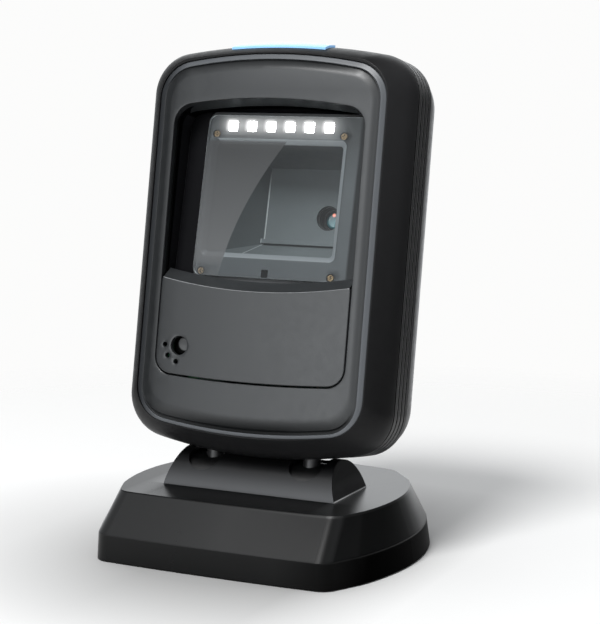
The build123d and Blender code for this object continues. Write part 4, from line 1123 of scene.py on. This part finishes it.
# ------------------------------------------------------------------ inner panel
PANEL_FRONT, PANEL_BACK = -0.02, -1.55
# sloping frame of the reading window: growth of the outline, d
WINDOW_FRAME = [(0.7, PANEL_FRONT), (0.3, -0.07), (0.0, -0.22), (-0.9, -0.95),
                (-1.15, -1.1), (-1.25, -1.3), (-1.25, -1.58)]
SCREW_PLACES = [(-22.0, 0.1), (22.0, 0.1), (-21.6, 42.8), (21.6, 42.8)]
# radius, d, openness to light for painted shade
SCREW_HOLE = [(1.42, PANEL_FRONT, 0.9), (1.3, -0.10, 0.35), (1.28, -0.95, 0.1),
              (0.7, -0.95, 0.1), (0.7, PANEL_BACK, 0.1)]
# x, v, half width, half height: one per lamp and one at the foot
PORTS = [(LAMP_PITCH * (i - (LAMP_COUNT - 1) / 2), LAMP_ROW_V, 1.66, 1.66)
         for i in range(LAMP_COUNT)] + [(0.0, 0.2, 1.05, 1.18)]
# growth, d, openness to light for painted shade
PORT_HOLE = [(0.12, PANEL_FRONT, 1.0), (0.0, -0.14, 0.5), (0.0, PANEL_BACK, 0.1)]


def frame_material(level, i, point):
    """Painted light: the right and lower slopes of the frame take a pale plastic."""
    return 1 if 1 <= level <= 4 and (point[0] > 20.0 or point[1] < 6.5) else 0


def inner_panel():
    g = Mesh()
    edge = [g.ring(plate_outline(-24.35, 30.45, -3.3, 49.65, inset), on_panel(d))
            for inset, d in ((0.0, PANEL_BACK), (0.0, -0.15), (0.12, PANEL_FRONT))]
    g.tube(edge)
    frame_rings = []
    for grow, d in WINDOW_FRAME:
        flat = rounded_rect(-22.5 - grow, 22.5 + grow, 5.0 - grow, 41.2 + grow,
                            1.7 + grow * 0.5, 10)
        frame_rings.append(g.ring(flat, on_panel(d)))
    g.tube(frame_rings, frame_material)
    holes = [(frame_rings[0], frame_rings[-1])]
    for x, v in SCREW_PLACES:
        holes.append(g.hole(lambda radius: circle(x, v, radius, 28), SCREW_HOLE, on_panel))
    for x, v, half_x, half_v in PORTS:
        holes.append(g.hole(
            lambda grow: rounded_rect(x - half_x - grow, x + half_x + grow,
                                      v - half_v - grow, v + half_v + grow, 0.25, 4),
            PORT_HOLE, on_panel))
    g.fill(edge[-1], [front for front, _ in holes], 2.0, on_panel(PANEL_FRONT))
    g.fill(edge[0], [back for _, back in holes], 3.0, on_panel(PANEL_BACK))
    g.make("panel_face", ["panel_plastic", "panel_bevel_lit_plastic"],
           "inner_panel", sharp=35)


inner_panel()


# ------------------------------------------------------------------ floor
def floor_paper():
    """White paper with a painted shadow round the base, that fades out into the background."""
    m = Material("floor_paper")
    radius = m.get("Value", "ShaderNodeVectorMath", {0: m.coord}, operation="LENGTH")
    fade = m.remap(radius, (0.13, 0.34), (0.0, 1.0))
    x, y, z = m.position()
    # distance from the middle of the base, drawn out along x
    across = m.math("POWER", m.math("DIVIDE", m.add(x, 0.004), 1.25), 2.0)
    distance = m.math("SQRT", m.add(across, m.math("POWER", m.add(y, 0.008), 2.0)))
    # painted shadow, strongest close round the front of the base, weaker to the left and right
    painted_shadow = m.mul(m.remap(distance, (0.035, 0.108), (0.54, 0.0)),
                 m.remap(x, (-0.075, -0.020), (0.62, 1.0)),
                 m.remap(x, (0.028, 0.062), (1.0, 0.12)))
    color = m.mix(painted_shadow, (0.955, 0.955, 0.95), (0.0, 0.0, 0.0))
    paper = m.get(0, "ShaderNodeBsdfDiffuse", {"Color": color})
    m.surface(m.mix_shader(fade, paper, m.get(0, "ShaderNodeBsdfTransparent")))
    return m.material


def make_floor():
    me = bpy.data.meshes.new("floor")
    bm = bmesh.new()
    bmesh.ops.create_circle(bm, cap_ends=True, segments=96, radius=2.4)
    bm.to_mesh(me)
    bm.free()
    floor = bpy.data.objects.new("floor", me)
    scene.collection.objects.link(floor)
    me.materials.append(floor_paper())


make_floor()


# ------------------------------------------------------------------ world, light, camera
def make_world():
    """Three skies: one for mirrors, one that lights matt surfaces, one for the camera."""
    world = bpy.data.worlds.new("studio")
    scene.world = world
    world.use_nodes = True
    w = Nodes(world.node_tree, "ShaderNodeOutputWorld")
    x, y, z = w.xyz(w.get("Generated", "ShaderNodeTexCoord"))

    def ease(source, span, result):
        return w.remap(source, span, result, interpolation_type="SMOOTHSTEP")

    def sky(color, strength):
        return w.get(0, "ShaderNodeBackground", {"Color": color, "Strength": strength})

    around = w.mul(w.studio(x, y), STUDIO_TOP)
    lift = ease(z, (0.52, 0.86), (0.0, 1.0))
    mirror = w.add(w.mul(around, w.sub(1.0, lift)), w.mul(lift, 0.5))
    back = ease(y, (-0.5, 0.8), (0.36, 0.66))
    left = ease(x, (-0.8, 0.8), (0.10, -0.22))
    up = ease(z, (0.1, 1.0), (0.0, 0.20))
    ambient = w.math("MAXIMUM", w.add(back, left, up), 0.02)
    rays = w.node("ShaderNodeLightPath").outputs
    lighting = w.mix_shader(rays["Is Glossy Ray"], sky((0.97, 0.985, 1.0), ambient),
                            sky((0.955, 0.98, 1.0), mirror))
    backdrop = sky((0.972, 0.972, 0.968), 1.0)
    w.surface(w.mix_shader(rays["Is Camera Ray"], lighting, backdrop))


def make_key_light():
    """Soft disk high in front of the scanner."""
    light = bpy.data.lights.new("key", "AREA")
    light.energy = 11.0
    light.shape = "DISK"
    light.size = 0.42
    light.specular_factor = 0.0
    key = bpy.data.objects.new("key", light)
    at, target = Vector((-0.094, -0.67, 1.053)), Vector((0.0, 0.0, 0.05))
    key.location = at
    key.rotation_mode = "QUATERNION"
    key.rotation_quaternion = (target - at).to_track_quat("-Z", "Y")
    scene.collection.objects.link(key)


def make_camera():
    lens = bpy.data.cameras.new("camera")
    lens.sensor_width = 36
    lens.sensor_fit = "AUTO"
    lens.lens = 106.2
    lens.clip_start, lens.clip_end = 0.01, 20
    camera = bpy.data.objects.new("camera", lens)
    camera.location = CAMERA_AT
    camera.rotation_euler = CAMERA_TURN
    scene.collection.objects.link(camera)
    scene.camera = camera


make_world()
make_key_light()
make_camera()
scene.view_settings.view_transform = "Standard"
scene.view_settings.look = "None"
